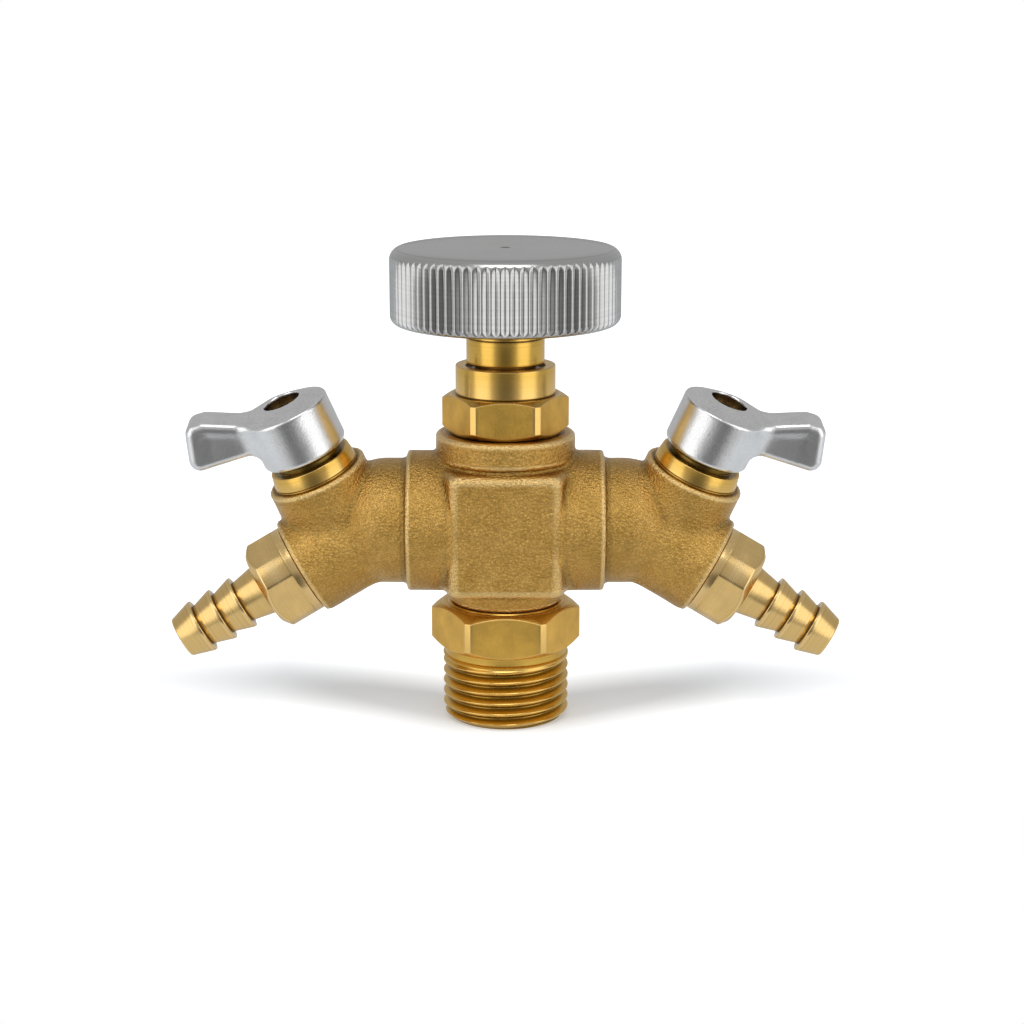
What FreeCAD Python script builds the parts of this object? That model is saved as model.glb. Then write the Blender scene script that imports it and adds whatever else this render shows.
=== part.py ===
import FreeCAD, Part
import math
import os
import Sketcher

# Twin outlet valve: an inlet nipple at the foot, a screw-down stop valve in the middle and a
# quarter-turn plug cock with a hose tail on each arm.
# Millimetres, +Z up, origin at the centre of the nipple's end face, front towards -Y.

Vector = FreeCAD.Vector
doc = FreeCAD.newDocument("twin_outlet_valve")

# Driving dimensions, one named cell each

SIZES = {
    # inlet nipple, upwards from its end face
    "inlet_thread_r": 10.4775,
    "inlet_thread_length": 10.9,
    "inlet_thread_chamfer": 1.1,
    "inlet_relief_r": 10.13,
    "inlet_relief_length": 1.55,
    "inlet_hex_flats": 22.0,
    "inlet_hex_corner_r": 12.65,
    "inlet_hex_height": 7.35,
    "inlet_hex_bevel": 1.2,
    "bevel_spread": 1.75,
    "inlet_bore_r": 7.4,
    "inlet_bore_depth": 17.5,
    "inlet_throat_r": 4.8,
    "inlet_spigot_r": 7.0,
    "inlet_spigot_length": 6.7,
    "inlet_washer_thickness": 0.35,
    "inlet_washer_r": 8.9,
    # casting
    "foot_ring_r": 9.33,
    "foot_ring_height": 3.4,
    "block_face_width": 18.4,
    "block_waist_width": 23.4,
    "block_depth": 24.0,
    "block_bottom_rise": 2.85,
    "block_height": 20.4,
    "block_round": 1.2,
    "collar_neck_r": 10.6,
    "collar_neck_height": 0.75,
    "top_collar_r": 11.47,
    "top_collar_height": 4.4,
    "side_collar_r": 11.66,
    "side_collar_reach": 16.2,
    "arm_r": 10.34,
    "arm_axis_rise": 13.4,
    "arm_end_x": 19.5,
    "stem_x": 27.56,
    "stem_tilt": 22.6,
    "stem_lean": 10.0,
    "stem_boss_r": 8.4,
    "stem_boss_root": 3.8,
    "stem_boss_top": 9.25,
    "outlet_x": 20.6,
    "outlet_tilt": 119.6,
    "outlet_sweep": 8.0,
    "outlet_barrel_r": 8.5,
    "outlet_face": 15.2,
    "cast_bevel": 0.45,
    # stop valve
    "floor_thickness": 1.1,
    "seat_height": 0.7,
    "seat_rim_r": 5.0,
    "seat_bore_r": 3.8,
    "chamber_r": 7.0,
    "chamber_step": 0.5,
    "seat_washer_r": 5.3,
    "seat_washer_thickness": 1.8,
    "seat_washer_hole_r": 1.35,
    "disc_r": 5.6,
    "disc_thickness": 1.6,
    "disc_stem_r": 2.5,
    "disc_stem_length": 5.6,
    "washer_screw_r": 1.3,
    "washer_screw_length": 5.0,
    "washer_screw_head_r": 2.4,
    "washer_screw_head_height": 1.1,
    "gasket_thickness": 0.4,
    "gasket_proud": 0.15,
    "bonnet_seat_width": 1.25,
    "bonnet_spigot_length": 8.6,
    "bonnet_hex_flats": 18.5,
    "bonnet_hex_corner_r": 10.38,
    "bonnet_hex_height": 6.05,
    "bonnet_hex_bevel": 0.75,
    "bonnet_collar_r": 8.19,
    "bonnet_collar_height": 4.75,
    "bonnet_collar_bevel": 0.35,
    "spindle_thread_r": 6.0,
    "spindle_thread_length": 8.5,
    "spindle_foot_r": 4.5,
    "spindle_foot_length": 6.4,
    "spindle_shaft_r": 5.0,
    "spindle_lift": 3.0,
    "spindle_head_r": 4.0,
    "spindle_head_length": 7.6,
    "spindle_ring_rise": 5.6,
    "spindle_ring_spacing": 2.4,
    "ring_thickness": 1.0,
    "neck_r": 6.4,
    "neck_height": 6.4,
    "neck_gap": 0.38,
    "knob_r": 18.78,
    "knob_height": 12.25,
    "knob_bevel_height": 1.15,
    "knob_bevel_depth": 0.65,
    "knob_rim_height": 0.35,
    "knob_rim_depth": 0.85,
    "knob_flutes": 80,
    "flute_depth": 0.6,
    "flute_half_width": 0.56,
    "knob_centre_mark_r": 0.5,
    "knob_centre_mark_depth": 0.4,
    # plug cocks, along the stem axis from where it crosses the arm axis
    "plug_r": 5.75,
    "plug_foot": 9.4,
    "plug_top": 4.4,
    "plug_bore_r": 3.25,
    "plug_bore_drop": 3.55,
    "plug_ring_inset": 1.0,
    "plug_ring_drop": 1.7,
    "slip_washer_thickness": 0.8,
    "gland_thread_r": 6.6,
    "gland_ring_foot_r": 7.3,
    "gland_ring_top_r": 6.75,
    "gland_ring_height": 2.7,
    "gland_lip_r": 5.5,
    "gland_lip_height": 0.75,
    "plug_stem_r": 4.0,
    "lever_gap": 0.43,
    "square_flats": 5.7,
    "square_height": 4.9,
    # lever, from the foot of its hub
    "hub_r": 7.15,
    "hub_side_height": 8.45,
    "hub_crown": 1.3,
    "hub_bevel": 0.3,
    "hub_foot_bevel": 0.35,
    "hub_hole_r": 3.1,
    "hub_hole_rim": 0.35,
    "hub_hole_depth": 3.4,
    "wing_thickness": 6.8,
    "wing_bottom": 3.5,
    "wing_bottom_rise": 0.9,
    "wing_neck_top": 8.3,
    "wing_tip_top": 12.4,
    "wing_top_fall": 0.2,
    "wing_root": 5.2,
    "wing_reach": 18.5,
    "wing_tip_top_reach": 15.7,
    "wing_shoulder_reach": 13.2,
    "wing_corner_round": 2.0,
    "wing_edge_bevel": 0.9,
    "web_thickness": 5.0,
    "web_top_rim": 2.0,
    "web_neck_rim": 2.2,
    "web_tip_rim": 2.5,
    "web_corner_lead": 0.5,
    "web_shoulder_lag": 0.4,
    "lever_screw_r": 1.7,
    "lever_screw_length": 4.6,
    "lever_screw_head_r": 2.9,
    "lever_screw_head_height": 1.5,
    "lever_screw_socket_r": 1.3,
    "lever_screw_socket_depth": 0.9,
    # hose tail, along the outlet axis from the port face
    "tail_washer_thickness": 0.4,
    "tail_washer_r": 7.0,
    "tail_thread_r": 6.0,
    "tail_thread_length": 2.4,
    "tail_nut_r": 7.6,
    "tail_nut_length": 6.9,
    "tail_nut_flats": 13.2,
    "tail_nut_turn": 18.0,
    "tail_nut_bevel": 1.3,
    "tail_flange_length": 1.1,
    "tail_bore_r": 2.6,
    "tail_root_r": 3.55,
    "tail_ridge_r": 4.6,
    "tail_last_cone_r": 4.4,
    "tail_ridge_spacing": 3.8,
    "tail_ridge_land": 0.35,
    "tail_first_ridge": 11.5,
    "tail_tip_length": 4.1,
    "tail_tip_r": 3.45,
    # clearances, and how far a cut starts outside the metal
    "running_fit": 0.05,
    "set_fit": 0.03,
    "slip": 0.05,
    "cut_past": 1.0,
}

sheet = doc.addObject("Spreadsheet::Sheet", "Sizes")
for row, (name, value) in enumerate(SIZES.items(), start=1):
    sheet.set(f"A{row}", name)
    sheet.set(f"B{row}", str(value))
    sheet.setAlias(f"B{row}", name)
doc.recompute()


# A formula is terms joined by spaced + and - signs, each term a product of sizes and numbers

def number(formula):
    """The value of a formula."""
    total, sign = 0.0, 1.0
    for word in formula.split():
        if word in ("+", "-"):
            sign = 1.0 if word == "+" else -1.0
            continue
        product = 1.0
        for factor in word.split("*"):
            product *= SIZES[factor] if factor in SIZES else float(factor)
        total += sign * product
    return total


def bound(formula):
    """The same formula with each size written as its cell of the sheet."""
    words = []
    for word in formula.split():
        factors = ["Sizes." + f if f in SIZES else f for f in word.split("*")]
        words.append(" * ".join(factors))
    return " ".join(words)


def minus(formula):
    """The formula with every sign turned round."""
    swap = {"+": "-", "-": "+"}
    words = [swap.get(word, word) for word in formula.split()]
    return "0 - " + " ".join(words)


# Heights on the valve's own axis, as formulas

HEX_FOOT = "inlet_thread_length + inlet_relief_length"
HEX_TOP = HEX_FOOT + " + inlet_hex_height"
CAST_FOOT = HEX_TOP + " + inlet_washer_thickness"
ARM_AXIS = CAST_FOOT + " + arm_axis_rise"
BLOCK_FOOT = CAST_FOOT + " + block_bottom_rise"
BLOCK_TOP = BLOCK_FOOT + " + block_height"
COLLAR_FOOT = BLOCK_TOP + " + collar_neck_height"
CAST_TOP = COLLAR_FOOT + " + top_collar_height"
SPIGOT_TOP = HEX_TOP + " + inlet_spigot_length"
FLOOR = SPIGOT_TOP + " + set_fit + floor_thickness"
SEAT = FLOOR + " + seat_height"
DISC_FOOT = SEAT + " + seat_washer_thickness"
DISC_TOP = DISC_FOOT + " + disc_thickness"
SPINDLE_FOOT = DISC_TOP + " + slip"
SPINDLE_THREAD_FOOT = SPINDLE_FOOT + " + spindle_foot_length"
SPINDLE_THREAD_TOP = SPINDLE_THREAD_FOOT + " + spindle_thread_length"
BONNET_SEAT = CAST_TOP + " + gasket_thickness"
BONNET_FOOT = BONNET_SEAT + " - bonnet_spigot_length"
BONNET_HEX_TOP = BONNET_SEAT + " + bonnet_hex_height"
BONNET_TOP = BONNET_HEX_TOP + " + bonnet_collar_height"
BONNET_THREAD_TOP = SPINDLE_THREAD_TOP + " + spindle_lift + ring_thickness"
NECK_FOOT = BONNET_TOP + " + neck_gap"
KNOB_FOOT = NECK_FOOT + " + neck_height"
KNOB_TOP = KNOB_FOOT + " + knob_height"
HEAD_TOP = KNOB_FOOT + " + spindle_head_length"

# Radii under the bonnet's hexagon, which seals on the face that is left round its spigot

BONNET_SPIGOT_R = "0.5*bonnet_hex_flats - bonnet_seat_width"
GASKET_R = "0.5*bonnet_hex_flats + gasket_proud"

# Heights on the stem axis, from where it crosses the arm axis

PLUG_SHOULDER = "plug_top"
GLAND_FOOT = PLUG_SHOULDER + " + slip_washer_thickness + slip"
GLAND_TOP = "stem_boss_top + gland_ring_height"
GLAND_LIP_TOP = GLAND_TOP + " + gland_lip_height"
HUB_FOOT = GLAND_LIP_TOP + " + lever_gap"
SQUARE_TOP = HUB_FOOT + " + square_height"


# Sketches and features

def plane_of(body, role):
    """One of the body's own origin planes."""
    for feature in body.Origin.OriginFeatures:
        if feature.Role == role:
            return feature
    raise ValueError(role)


def new_body(label):
    body = doc.addObject("PartDesign::Body", label)
    body.Label = label
    return body


def sketch_on(body, role, name, rise="0"):
    """A sketch on an origin plane of the body, lifted off it by the formula rise."""
    sketch = body.newObject("Sketcher::SketchObject", name)
    sketch.AttachmentSupport = [(plane_of(body, role), "")]
    sketch.MapMode = "FlatFace"
    if rise != "0":
        sketch.setExpression("AttachmentOffset.Base.z", bound(rise))
    return sketch


def corner_fixed(sketch, line, across, up):
    """Holds the start of a line at two formulas."""
    across_row = sketch.addConstraint(
        Sketcher.Constraint("DistanceX", -1, 1, line, 1, number(across)))
    up_row = sketch.addConstraint(
        Sketcher.Constraint("DistanceY", -1, 1, line, 1, number(up)))
    sketch.setExpression(f"Constraints[{across_row}]", bound(across))
    sketch.setExpression(f"Constraints[{up_row}]", bound(up))


def outline(sketch, corners):
    """A closed outline of straight lines through corners, each a pair of formulas."""
    points = [Vector(number(across), number(up), 0) for across, up in corners]
    count = len(points)
    for i in range(count):
        sketch.addGeometry(Part.LineSegment(points[i], points[(i + 1) % count]), False)
    for i in range(count):
        sketch.addConstraint(
            Sketcher.Constraint("Coincident", i, 2, (i + 1) % count, 1))
    for i, (across, up) in enumerate(corners):
        corner_fixed(sketch, i, across, up)


def circle(sketch, across, up, radius):
    """A circle whose centre and radius are formulas."""
    centre = Vector(number(across), number(up), 0)
    ring = sketch.addGeometry(Part.Circle(centre, Vector(0, 0, 1), number(radius)), False)
    rows = [("DistanceX", across), ("DistanceY", up)]
    for kind, formula in rows:
        row = sketch.addConstraint(Sketcher.Constraint(kind, -1, 1, ring, 3, number(formula)))
        sketch.setExpression(f"Constraints[{row}]", bound(formula))
    row = sketch.addConstraint(Sketcher.Constraint("Radius", ring, number(radius)))
    sketch.setExpression(f"Constraints[{row}]", bound(radius))


def revolve(body, name, corners):
    """The body's turned blank: an outline of radius and height spun about its axis."""
    sketch = sketch_on(body, "XZ_Plane", name + "_profile")
    outline(sketch, corners)
    feature = body.newObject("PartDesign::Revolution", name)
    feature.Profile = (sketch, [""])
    feature.ReferenceAxis = (sketch, ["V_Axis"])
    feature.Angle = 360.0
    body.Tip = feature
    return feature


def turned(label, corners):
    body = new_body(label)
    revolve(body, label + "_turned", corners)
    return body


def extrude(body, kind, name, sketch, length, both_ways=False, reverse=False):
    """A pad along the sketch's normal or a pocket against it, and the other way if reversed."""
    feature = body.newObject("PartDesign::" + kind, name)
    feature.Profile = (sketch, [""])
    feature.setExpression("Length", bound(length))
    feature.Length = number(length)
    feature.Midplane = both_ways
    feature.Reversed = reverse
    body.Tip = feature
    return feature


def patterned(body, name, feature, count):
    """Repeats a feature round the body's own Z axis."""
    pattern = body.newObject("PartDesign::PolarPattern", name)
    pattern.Originals = [feature]
    pattern.Axis = (feature.Profile[0], ["N_Axis"])
    pattern.Angle = 360.0
    pattern.Occurrences = count
    body.Tip = pattern
    return pattern


def mill_flats(body, name, foot, height, flats, corner, count, turn="0"):
    """Flats milled on a turned blank: one pocket outside the flat, repeated round the axis."""
    sketch = sketch_on(body, "XY_Plane", name + "_sketch", foot)
    near, far = "0.5*" + flats, corner + " + cut_past"
    outline(sketch, [
        (minus(corner), near),
        (corner, near),
        (corner, far),
        (minus(corner), far),
    ])
    if turn != "0":
        sketch.setExpression("AttachmentOffset.Rotation.Angle", bound(turn))
    pocket = extrude(body, "Pocket", name + "_pocket", sketch, height, reverse=True)
    return patterned(body, name, pocket, count)


def edges_across(shape, corners):
    """Names of the shape's edges that run along Y through one of the corners, each an X and a Z."""
    names = []
    for i, edge in enumerate(shape.Edges, start=1):
        low, high = edge.Vertexes[0].Point, edge.Vertexes[-1].Point
        if abs(low.x - high.x) > 1e-4 or abs(low.z - high.z) > 1e-4:
            continue
        if any(abs(low.x - x) < 1e-4 and abs(low.z - z) < 1e-4 for x, z in corners):
            names.append(f"Edge{i}")
    return names


def face_outline(shape, depth):
    """Names of the edges that lie in the plane y = depth."""
    names = []
    for i, edge in enumerate(shape.Edges, start=1):
        box = edge.BoundBox
        if abs(box.YMin - depth) < 1e-4 and abs(box.YMax - depth) < 1e-4:
            names.append(f"Edge{i}")
    return names


def round_edges(body, name, edges, radius):
    base = body.Tip
    fillet = body.newObject("PartDesign::Fillet", name)
    fillet.Base = (base, edges)
    fillet.Radius = number(radius)
    fillet.setExpression("Radius", bound(radius))
    body.Tip = fillet


def bevel_edges(body, name, edges, size):
    base = body.Tip
    chamfer = body.newObject("PartDesign::Chamfer", name)
    chamfer.Base = (base, edges)
    chamfer.Size = number(size)
    chamfer.setExpression("Size", bound(size))
    body.Tip = chamfer


def turn_of(axis, side):
    """The rotation from upright onto an arm, stem or outlet axis: side 1 right, side -1 left."""
    half_turn = "rotation(vector(0; 0; 1); 180) * " if side < 0 else ""
    if axis == "arm":
        return half_turn + "rotation(vector(0; 1; 0); 90)"
    tilt = f"rotation(vector(0; 1; 0); Sizes.{axis}_tilt)"
    if axis == "stem":
        return half_turn + f"rotation(vector(1; 0; 0); {side} * Sizes.stem_lean) * " + tilt
    return half_turn + f"rotation(vector(0; 0; 1); {-side} * Sizes.outlet_sweep) * " + tilt


def start_of(axis, side):
    """Where an axis starts on the arm axis."""
    across = {"arm": "0", "stem": "stem_x", "outlet": "outlet_x"}[axis]
    across = across if side > 0 else minus(across)
    return "vector({}; 0; {})".format(bound(across), bound(ARM_AXIS))


def place(piece, axis, side):
    """Stands a piece on a tilted axis."""
    piece.setExpression("Placement", f"placement({start_of(axis, side)}; {turn_of(axis, side)})")


def on_stem(piece, side):
    place(piece, "stem", side)


def on_outlet(piece, side):
    place(piece, "outlet", side)


SIDES = {"left": -1, "right": 1}
kept = []


# Inlet nipple

HEX_FACE_R = "inlet_hex_corner_r - bevel_spread*inlet_hex_bevel"
nipple = turned("inlet_nipple", [
    ("inlet_bore_r", "0"),
    ("inlet_thread_r - inlet_thread_chamfer", "0"),
    ("inlet_thread_r", "inlet_thread_chamfer"),
    ("inlet_thread_r", "inlet_thread_length"),
    ("inlet_relief_r", "inlet_thread_length"),
    ("inlet_relief_r", HEX_FOOT),
    (HEX_FACE_R, HEX_FOOT),
    ("inlet_hex_corner_r", HEX_FOOT + " + inlet_hex_bevel"),
    ("inlet_hex_corner_r", HEX_TOP + " - inlet_hex_bevel"),
    (HEX_FACE_R, HEX_TOP),
    ("inlet_spigot_r", HEX_TOP),
    ("inlet_spigot_r", SPIGOT_TOP),
    ("inlet_throat_r", SPIGOT_TOP),
    ("inlet_throat_r", "inlet_bore_depth"),
    ("inlet_bore_r", "inlet_bore_depth"),
])
mill_flats(nipple, "inlet_hexagon", HEX_FOOT, "inlet_hex_height", "inlet_hex_flats",
           "inlet_hex_corner_r", 6)
kept.append(nipple)

kept.append(turned("inlet_washer", [
    ("inlet_spigot_r + set_fit", HEX_TOP),
    ("inlet_washer_r", HEX_TOP),
    ("inlet_washer_r", CAST_FOOT),
    ("inlet_spigot_r + set_fit", CAST_FOOT),
]))


# Casting: outer form from cylinders and a block, then the passages cut out of it

def cylinder(name, radius, foot, top):
    """A cylinder on its own Z axis from one formula height to another."""
    solid = doc.addObject("Part::Cylinder", name)
    solid.setExpression("Radius", bound(radius))
    solid.setExpression("Height", bound(top) + " - (" + bound(foot) + ")")
    return solid


def upright(name, radius, foot, top):
    solid = cylinder(name, radius, foot, top)
    solid.setExpression("Placement.Base.z", bound(foot))
    return solid


def along(name, radius, foot, top, axis, side):
    """A cylinder on a tilted axis that starts on the arm axis, foot and top measured along it."""
    solid = cylinder(name, radius, foot, top)
    turn = turn_of(axis, side)
    shift = "({}) * (vector(0; 0; 1) * ({}))".format(turn, bound(foot))
    solid.setExpression("Placement", f"placement({start_of(axis, side)} + {shift}; {turn})")
    return solid


block = new_body("block")
block_plan = sketch_on(block, "XY_Plane", "block_plan", BLOCK_FOOT)
outline(block_plan, [
    ("-0.5*block_face_width", "-0.5*block_depth"),
    ("0.5*block_face_width", "-0.5*block_depth"),
    ("0.5*block_waist_width", "0"),
    ("0.5*block_face_width", "0.5*block_depth"),
    ("-0.5*block_face_width", "0.5*block_depth"),
    ("-0.5*block_waist_width", "0"),
])
extrude(block, "Pad", "block_pad", block_plan, "block_height")
doc.recompute()
block_edges = [f"Edge{i}" for i in range(1, len(block.Shape.Edges) + 1)]
round_edges(block, "block_rounds", block_edges, "block_round")

outer = [
    block,
    upright("foot_ring", "foot_ring_r", CAST_FOOT, CAST_FOOT + " + foot_ring_height"),
    upright("collar_neck", "collar_neck_r", BLOCK_TOP + " - block_round", COLLAR_FOOT),
    upright("top_collar", "top_collar_r", COLLAR_FOOT, CAST_TOP),
]

for side_name, side in SIDES.items():
    ball = doc.addObject("Part::Sphere", side_name + "_arm_end")
    ball.setExpression("Radius", bound("arm_r"))
    ball.setExpression("Placement.Base.x", bound("arm_end_x" if side > 0 else minus("arm_end_x")))
    ball.setExpression("Placement.Base.z", bound(ARM_AXIS))
    outer += [
        along(side_name + "_collar", "side_collar_r", "0", "side_collar_reach", "arm", side),
        along(side_name + "_arm", "arm_r", "0", "arm_end_x", "arm", side),
        ball,
        along(side_name + "_stem_boss", "stem_boss_r", "-1*stem_boss_root", "stem_boss_top",
              "stem", side),
        along(side_name + "_barrel", "outlet_barrel_r", "0", "outlet_face", "outlet", side),
    ]

blank = doc.addObject("Part::MultiFuse", "casting_blank")
blank.Shapes = outer
blank.Refine = True

cavity = turned("stop_valve_cavity", [
    ("0", CAST_FOOT + " - cut_past"),
    ("inlet_spigot_r + set_fit", CAST_FOOT + " - cut_past"),
    ("inlet_spigot_r + set_fit", SPIGOT_TOP + " + set_fit"),
    ("seat_bore_r", SPIGOT_TOP + " + set_fit"),
    ("seat_bore_r", SEAT),
    ("seat_rim_r", SEAT),
    ("seat_rim_r", FLOOR),
    ("chamber_r", FLOOR),
    ("chamber_r", BONNET_FOOT + " - chamber_step"),
    (BONNET_SPIGOT_R + " + set_fit", BONNET_FOOT + " - chamber_step"),
    (BONNET_SPIGOT_R + " + set_fit", CAST_TOP + " + cut_past"),
    ("0", CAST_TOP + " + cut_past"),
])

passages = [cavity]
for side_name, side in SIDES.items():
    passages += [
        along(side_name + "_arm_bore", "plug_bore_r", "0", "stem_x", "arm", side),
        along(side_name + "_plug_housing", "plug_r + running_fit", "-1*plug_foot - slip",
              "plug_top + slip_washer_thickness", "stem", side),
        along(side_name + "_gland_thread", "gland_thread_r + set_fit",
              "plug_top + slip_washer_thickness", "stem_boss_top + cut_past", "stem", side),
        along(side_name + "_outlet_bore", "plug_bore_r", "stem_x - outlet_x",
              "outlet_face + cut_past", "outlet", side),
        along(side_name + "_port_thread", "tail_thread_r + set_fit",
              "outlet_face - tail_thread_length - slip", "outlet_face + cut_past",
              "outlet", side),
    ]
passage_tool = doc.addObject("Part::MultiFuse", "passages")
passage_tool.Shapes = passages

def casting_rims(shape):
    """Edge numbers of the casting's free rims: whole circles, apart from the arms' round ends."""
    arm_end = number("arm_end_x")
    rims = []
    for i, edge in enumerate(shape.Edges, start=1):
        if edge.Degenerated or edge.Curve.TypeId != "Part::GeomCircle":
            continue
        whole = abs(edge.Length - 2 * math.pi * edge.Curve.Radius) < 1e-3
        if whole and abs(abs(edge.CenterOfMass.x) - arm_end) > 0.01:
            rims.append(i)
    return rims


doc.recompute()
bevel = number("cast_bevel")
bevelled = doc.addObject("Part::Chamfer", "casting_bevelled")
bevelled.Base = blank
bevelled.Edges = [(i, bevel, bevel) for i in casting_rims(blank.Shape)]

casting = doc.addObject("Part::Cut", "valve_body")
casting.Label = "valve_body"
casting.Base = bevelled
casting.Tool = passage_tool
kept.append(casting)


# Bonnet and its gasket

BONNET_FACE_R = "bonnet_hex_corner_r - bevel_spread*bonnet_hex_bevel"
bonnet = turned("bonnet", [
    ("spindle_thread_r + running_fit", BONNET_FOOT),
    (BONNET_SPIGOT_R, BONNET_FOOT),
    (BONNET_SPIGOT_R, BONNET_SEAT),
    (BONNET_FACE_R, BONNET_SEAT),
    ("bonnet_hex_corner_r", BONNET_SEAT + " + bonnet_hex_bevel"),
    ("bonnet_hex_corner_r", BONNET_HEX_TOP + " - bonnet_hex_bevel"),
    (BONNET_FACE_R, BONNET_HEX_TOP),
    ("bonnet_collar_r", BONNET_HEX_TOP),
    ("bonnet_collar_r", BONNET_TOP + " - bonnet_collar_bevel"),
    ("bonnet_collar_r - bonnet_collar_bevel", BONNET_TOP),
    ("spindle_shaft_r + running_fit", BONNET_TOP),
    ("spindle_shaft_r + running_fit", BONNET_THREAD_TOP),
    ("spindle_thread_r + running_fit", BONNET_THREAD_TOP),
])
mill_flats(bonnet, "bonnet_hexagon", BONNET_SEAT, "bonnet_hex_height", "bonnet_hex_flats",
           "bonnet_hex_corner_r", 6)
kept.append(bonnet)

kept.append(turned("bonnet_gasket", [
    (BONNET_SPIGOT_R + " + set_fit", CAST_TOP),
    (GASKET_R, CAST_TOP),
    (GASKET_R, BONNET_SEAT),
    (BONNET_SPIGOT_R + " + set_fit", BONNET_SEAT),
]))


# Jumper with its soft washer and screw

SCREW_TIP = SEAT + " + washer_screw_length"
kept.append(turned("valve_disc", [
    ("washer_screw_r + set_fit", DISC_FOOT),
    ("disc_r", DISC_FOOT),
    ("disc_r", DISC_TOP),
    ("disc_stem_r", DISC_TOP),
    ("disc_stem_r", DISC_TOP + " + disc_stem_length"),
    ("0", DISC_TOP + " + disc_stem_length"),
    ("0", SCREW_TIP + " + slip"),
    ("washer_screw_r + set_fit", SCREW_TIP + " + slip"),
]))
kept.append(turned("seat_washer", [
    ("seat_washer_hole_r", SEAT),
    ("seat_washer_r", SEAT),
    ("seat_washer_r", DISC_FOOT),
    ("seat_washer_hole_r", DISC_FOOT),
]))
kept.append(turned("seat_washer_screw", [
    ("0", SEAT + " - washer_screw_head_height"),
    ("washer_screw_head_r", SEAT + " - washer_screw_head_height"),
    ("washer_screw_head_r", SEAT),
    ("washer_screw_r", SEAT),
    ("washer_screw_r", SCREW_TIP),
    ("0", SCREW_TIP),
]))


# Spindle with two seal grooves, its neck and the hand wheel

def groove(centre, surface_r):
    """Corners of a seal groove in a shaft, upwards, for a ring of ring_thickness."""
    floor_r = surface_r + " - ring_thickness - set_fit"
    low = centre + " - 0.5*ring_thickness - slip"
    high = centre + " + 0.5*ring_thickness + slip"
    return [(surface_r, low), (floor_r, low), (floor_r, high), (surface_r, high)]


def seals(label, centres, surface_r):
    """Square-section seal rings seated in their grooves, as one node of separate rings."""
    ring_bodies = []
    for i, centre in enumerate(centres, start=1):
        low = centre + " - 0.5*ring_thickness"
        high = centre + " + 0.5*ring_thickness"
        inside = surface_r + " - ring_thickness"
        ring_bodies.append(turned(f"{label}_{i}", [
            (inside, low),
            (surface_r, low),
            (surface_r, high),
            (inside, high),
        ]))
    group = doc.addObject("Part::Compound", label)
    group.Label = label
    group.Links = ring_bodies
    return group


SPINDLE_RINGS = [
    SPINDLE_THREAD_TOP + " + spindle_ring_rise",
    SPINDLE_THREAD_TOP + " + spindle_ring_rise + spindle_ring_spacing",
]
kept.append(turned("spindle", [
    ("disc_stem_r + running_fit", SPINDLE_FOOT),
    ("spindle_foot_r", SPINDLE_FOOT),
    ("spindle_foot_r", SPINDLE_THREAD_FOOT),
    ("spindle_thread_r", SPINDLE_THREAD_FOOT),
    ("spindle_thread_r", SPINDLE_THREAD_TOP),
    ("spindle_shaft_r", SPINDLE_THREAD_TOP),
    *groove(SPINDLE_RINGS[0], "spindle_shaft_r"),
    *groove(SPINDLE_RINGS[1], "spindle_shaft_r"),
    ("spindle_shaft_r", KNOB_FOOT),
    ("spindle_head_r", KNOB_FOOT),
    ("spindle_head_r", HEAD_TOP),
    ("0", HEAD_TOP),
    ("0", DISC_TOP + " + disc_stem_length + slip"),
    ("disc_stem_r + running_fit", DISC_TOP + " + disc_stem_length + slip"),
]))
kept.append(seals("spindle_seals", SPINDLE_RINGS, "spindle_shaft_r"))
kept.append(turned("spindle_collar", [
    ("spindle_shaft_r + set_fit", NECK_FOOT),
    ("neck_r", NECK_FOOT),
    ("neck_r", KNOB_FOOT),
    ("spindle_shaft_r + set_fit", KNOB_FOOT),
]))

RIM_R = "knob_r - knob_bevel_depth"
RIM_FACE_R = RIM_R + " - knob_rim_depth"
RIM_HEIGHT = "knob_rim_height"
BEVEL_HEIGHT = "knob_rim_height + knob_bevel_height"
knob = turned("knob", [
    ("spindle_head_r + set_fit", KNOB_FOOT),
    (RIM_FACE_R, KNOB_FOOT),
    (RIM_R, KNOB_FOOT + " + " + RIM_HEIGHT),
    ("knob_r", KNOB_FOOT + " + " + BEVEL_HEIGHT),
    ("knob_r", KNOB_TOP + " - knob_rim_height - knob_bevel_height"),
    (RIM_R, KNOB_TOP + " - " + RIM_HEIGHT),
    (RIM_FACE_R, KNOB_TOP),
    ("knob_centre_mark_r", KNOB_TOP),
    ("0", KNOB_TOP + " - knob_centre_mark_depth"),
    ("0", HEAD_TOP + " + slip"),
    ("spindle_head_r + set_fit", HEAD_TOP + " + slip"),
])
flute = sketch_on(knob, "XY_Plane", "flute_section", KNOB_FOOT)
outline(flute, [
    ("0", "knob_r - flute_depth"),
    ("2*flute_half_width", "knob_r + flute_depth"),
    ("-2*flute_half_width", "knob_r + flute_depth"),
])
flute_cut = extrude(knob, "Pocket", "flute", flute, "knob_height", reverse=True)
patterned(knob, "flutes", flute_cut, SIZES["knob_flutes"])
kept.append(knob)


# Plug cocks, levers and hose tails, one of each to a side

PLUG_RINGS = ["plug_top - plug_ring_drop", "-1*plug_foot + plug_ring_inset"]
HUB_SIDE_TOP = HUB_FOOT + " + hub_side_height"
HUB_TOP = HUB_SIDE_TOP + " + hub_crown"
HUB_HOLE_FLOOR = HUB_TOP + " - hub_hole_depth"
LEVER_SCREW_TIP = HUB_HOLE_FLOOR + " - lever_screw_length"


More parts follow.
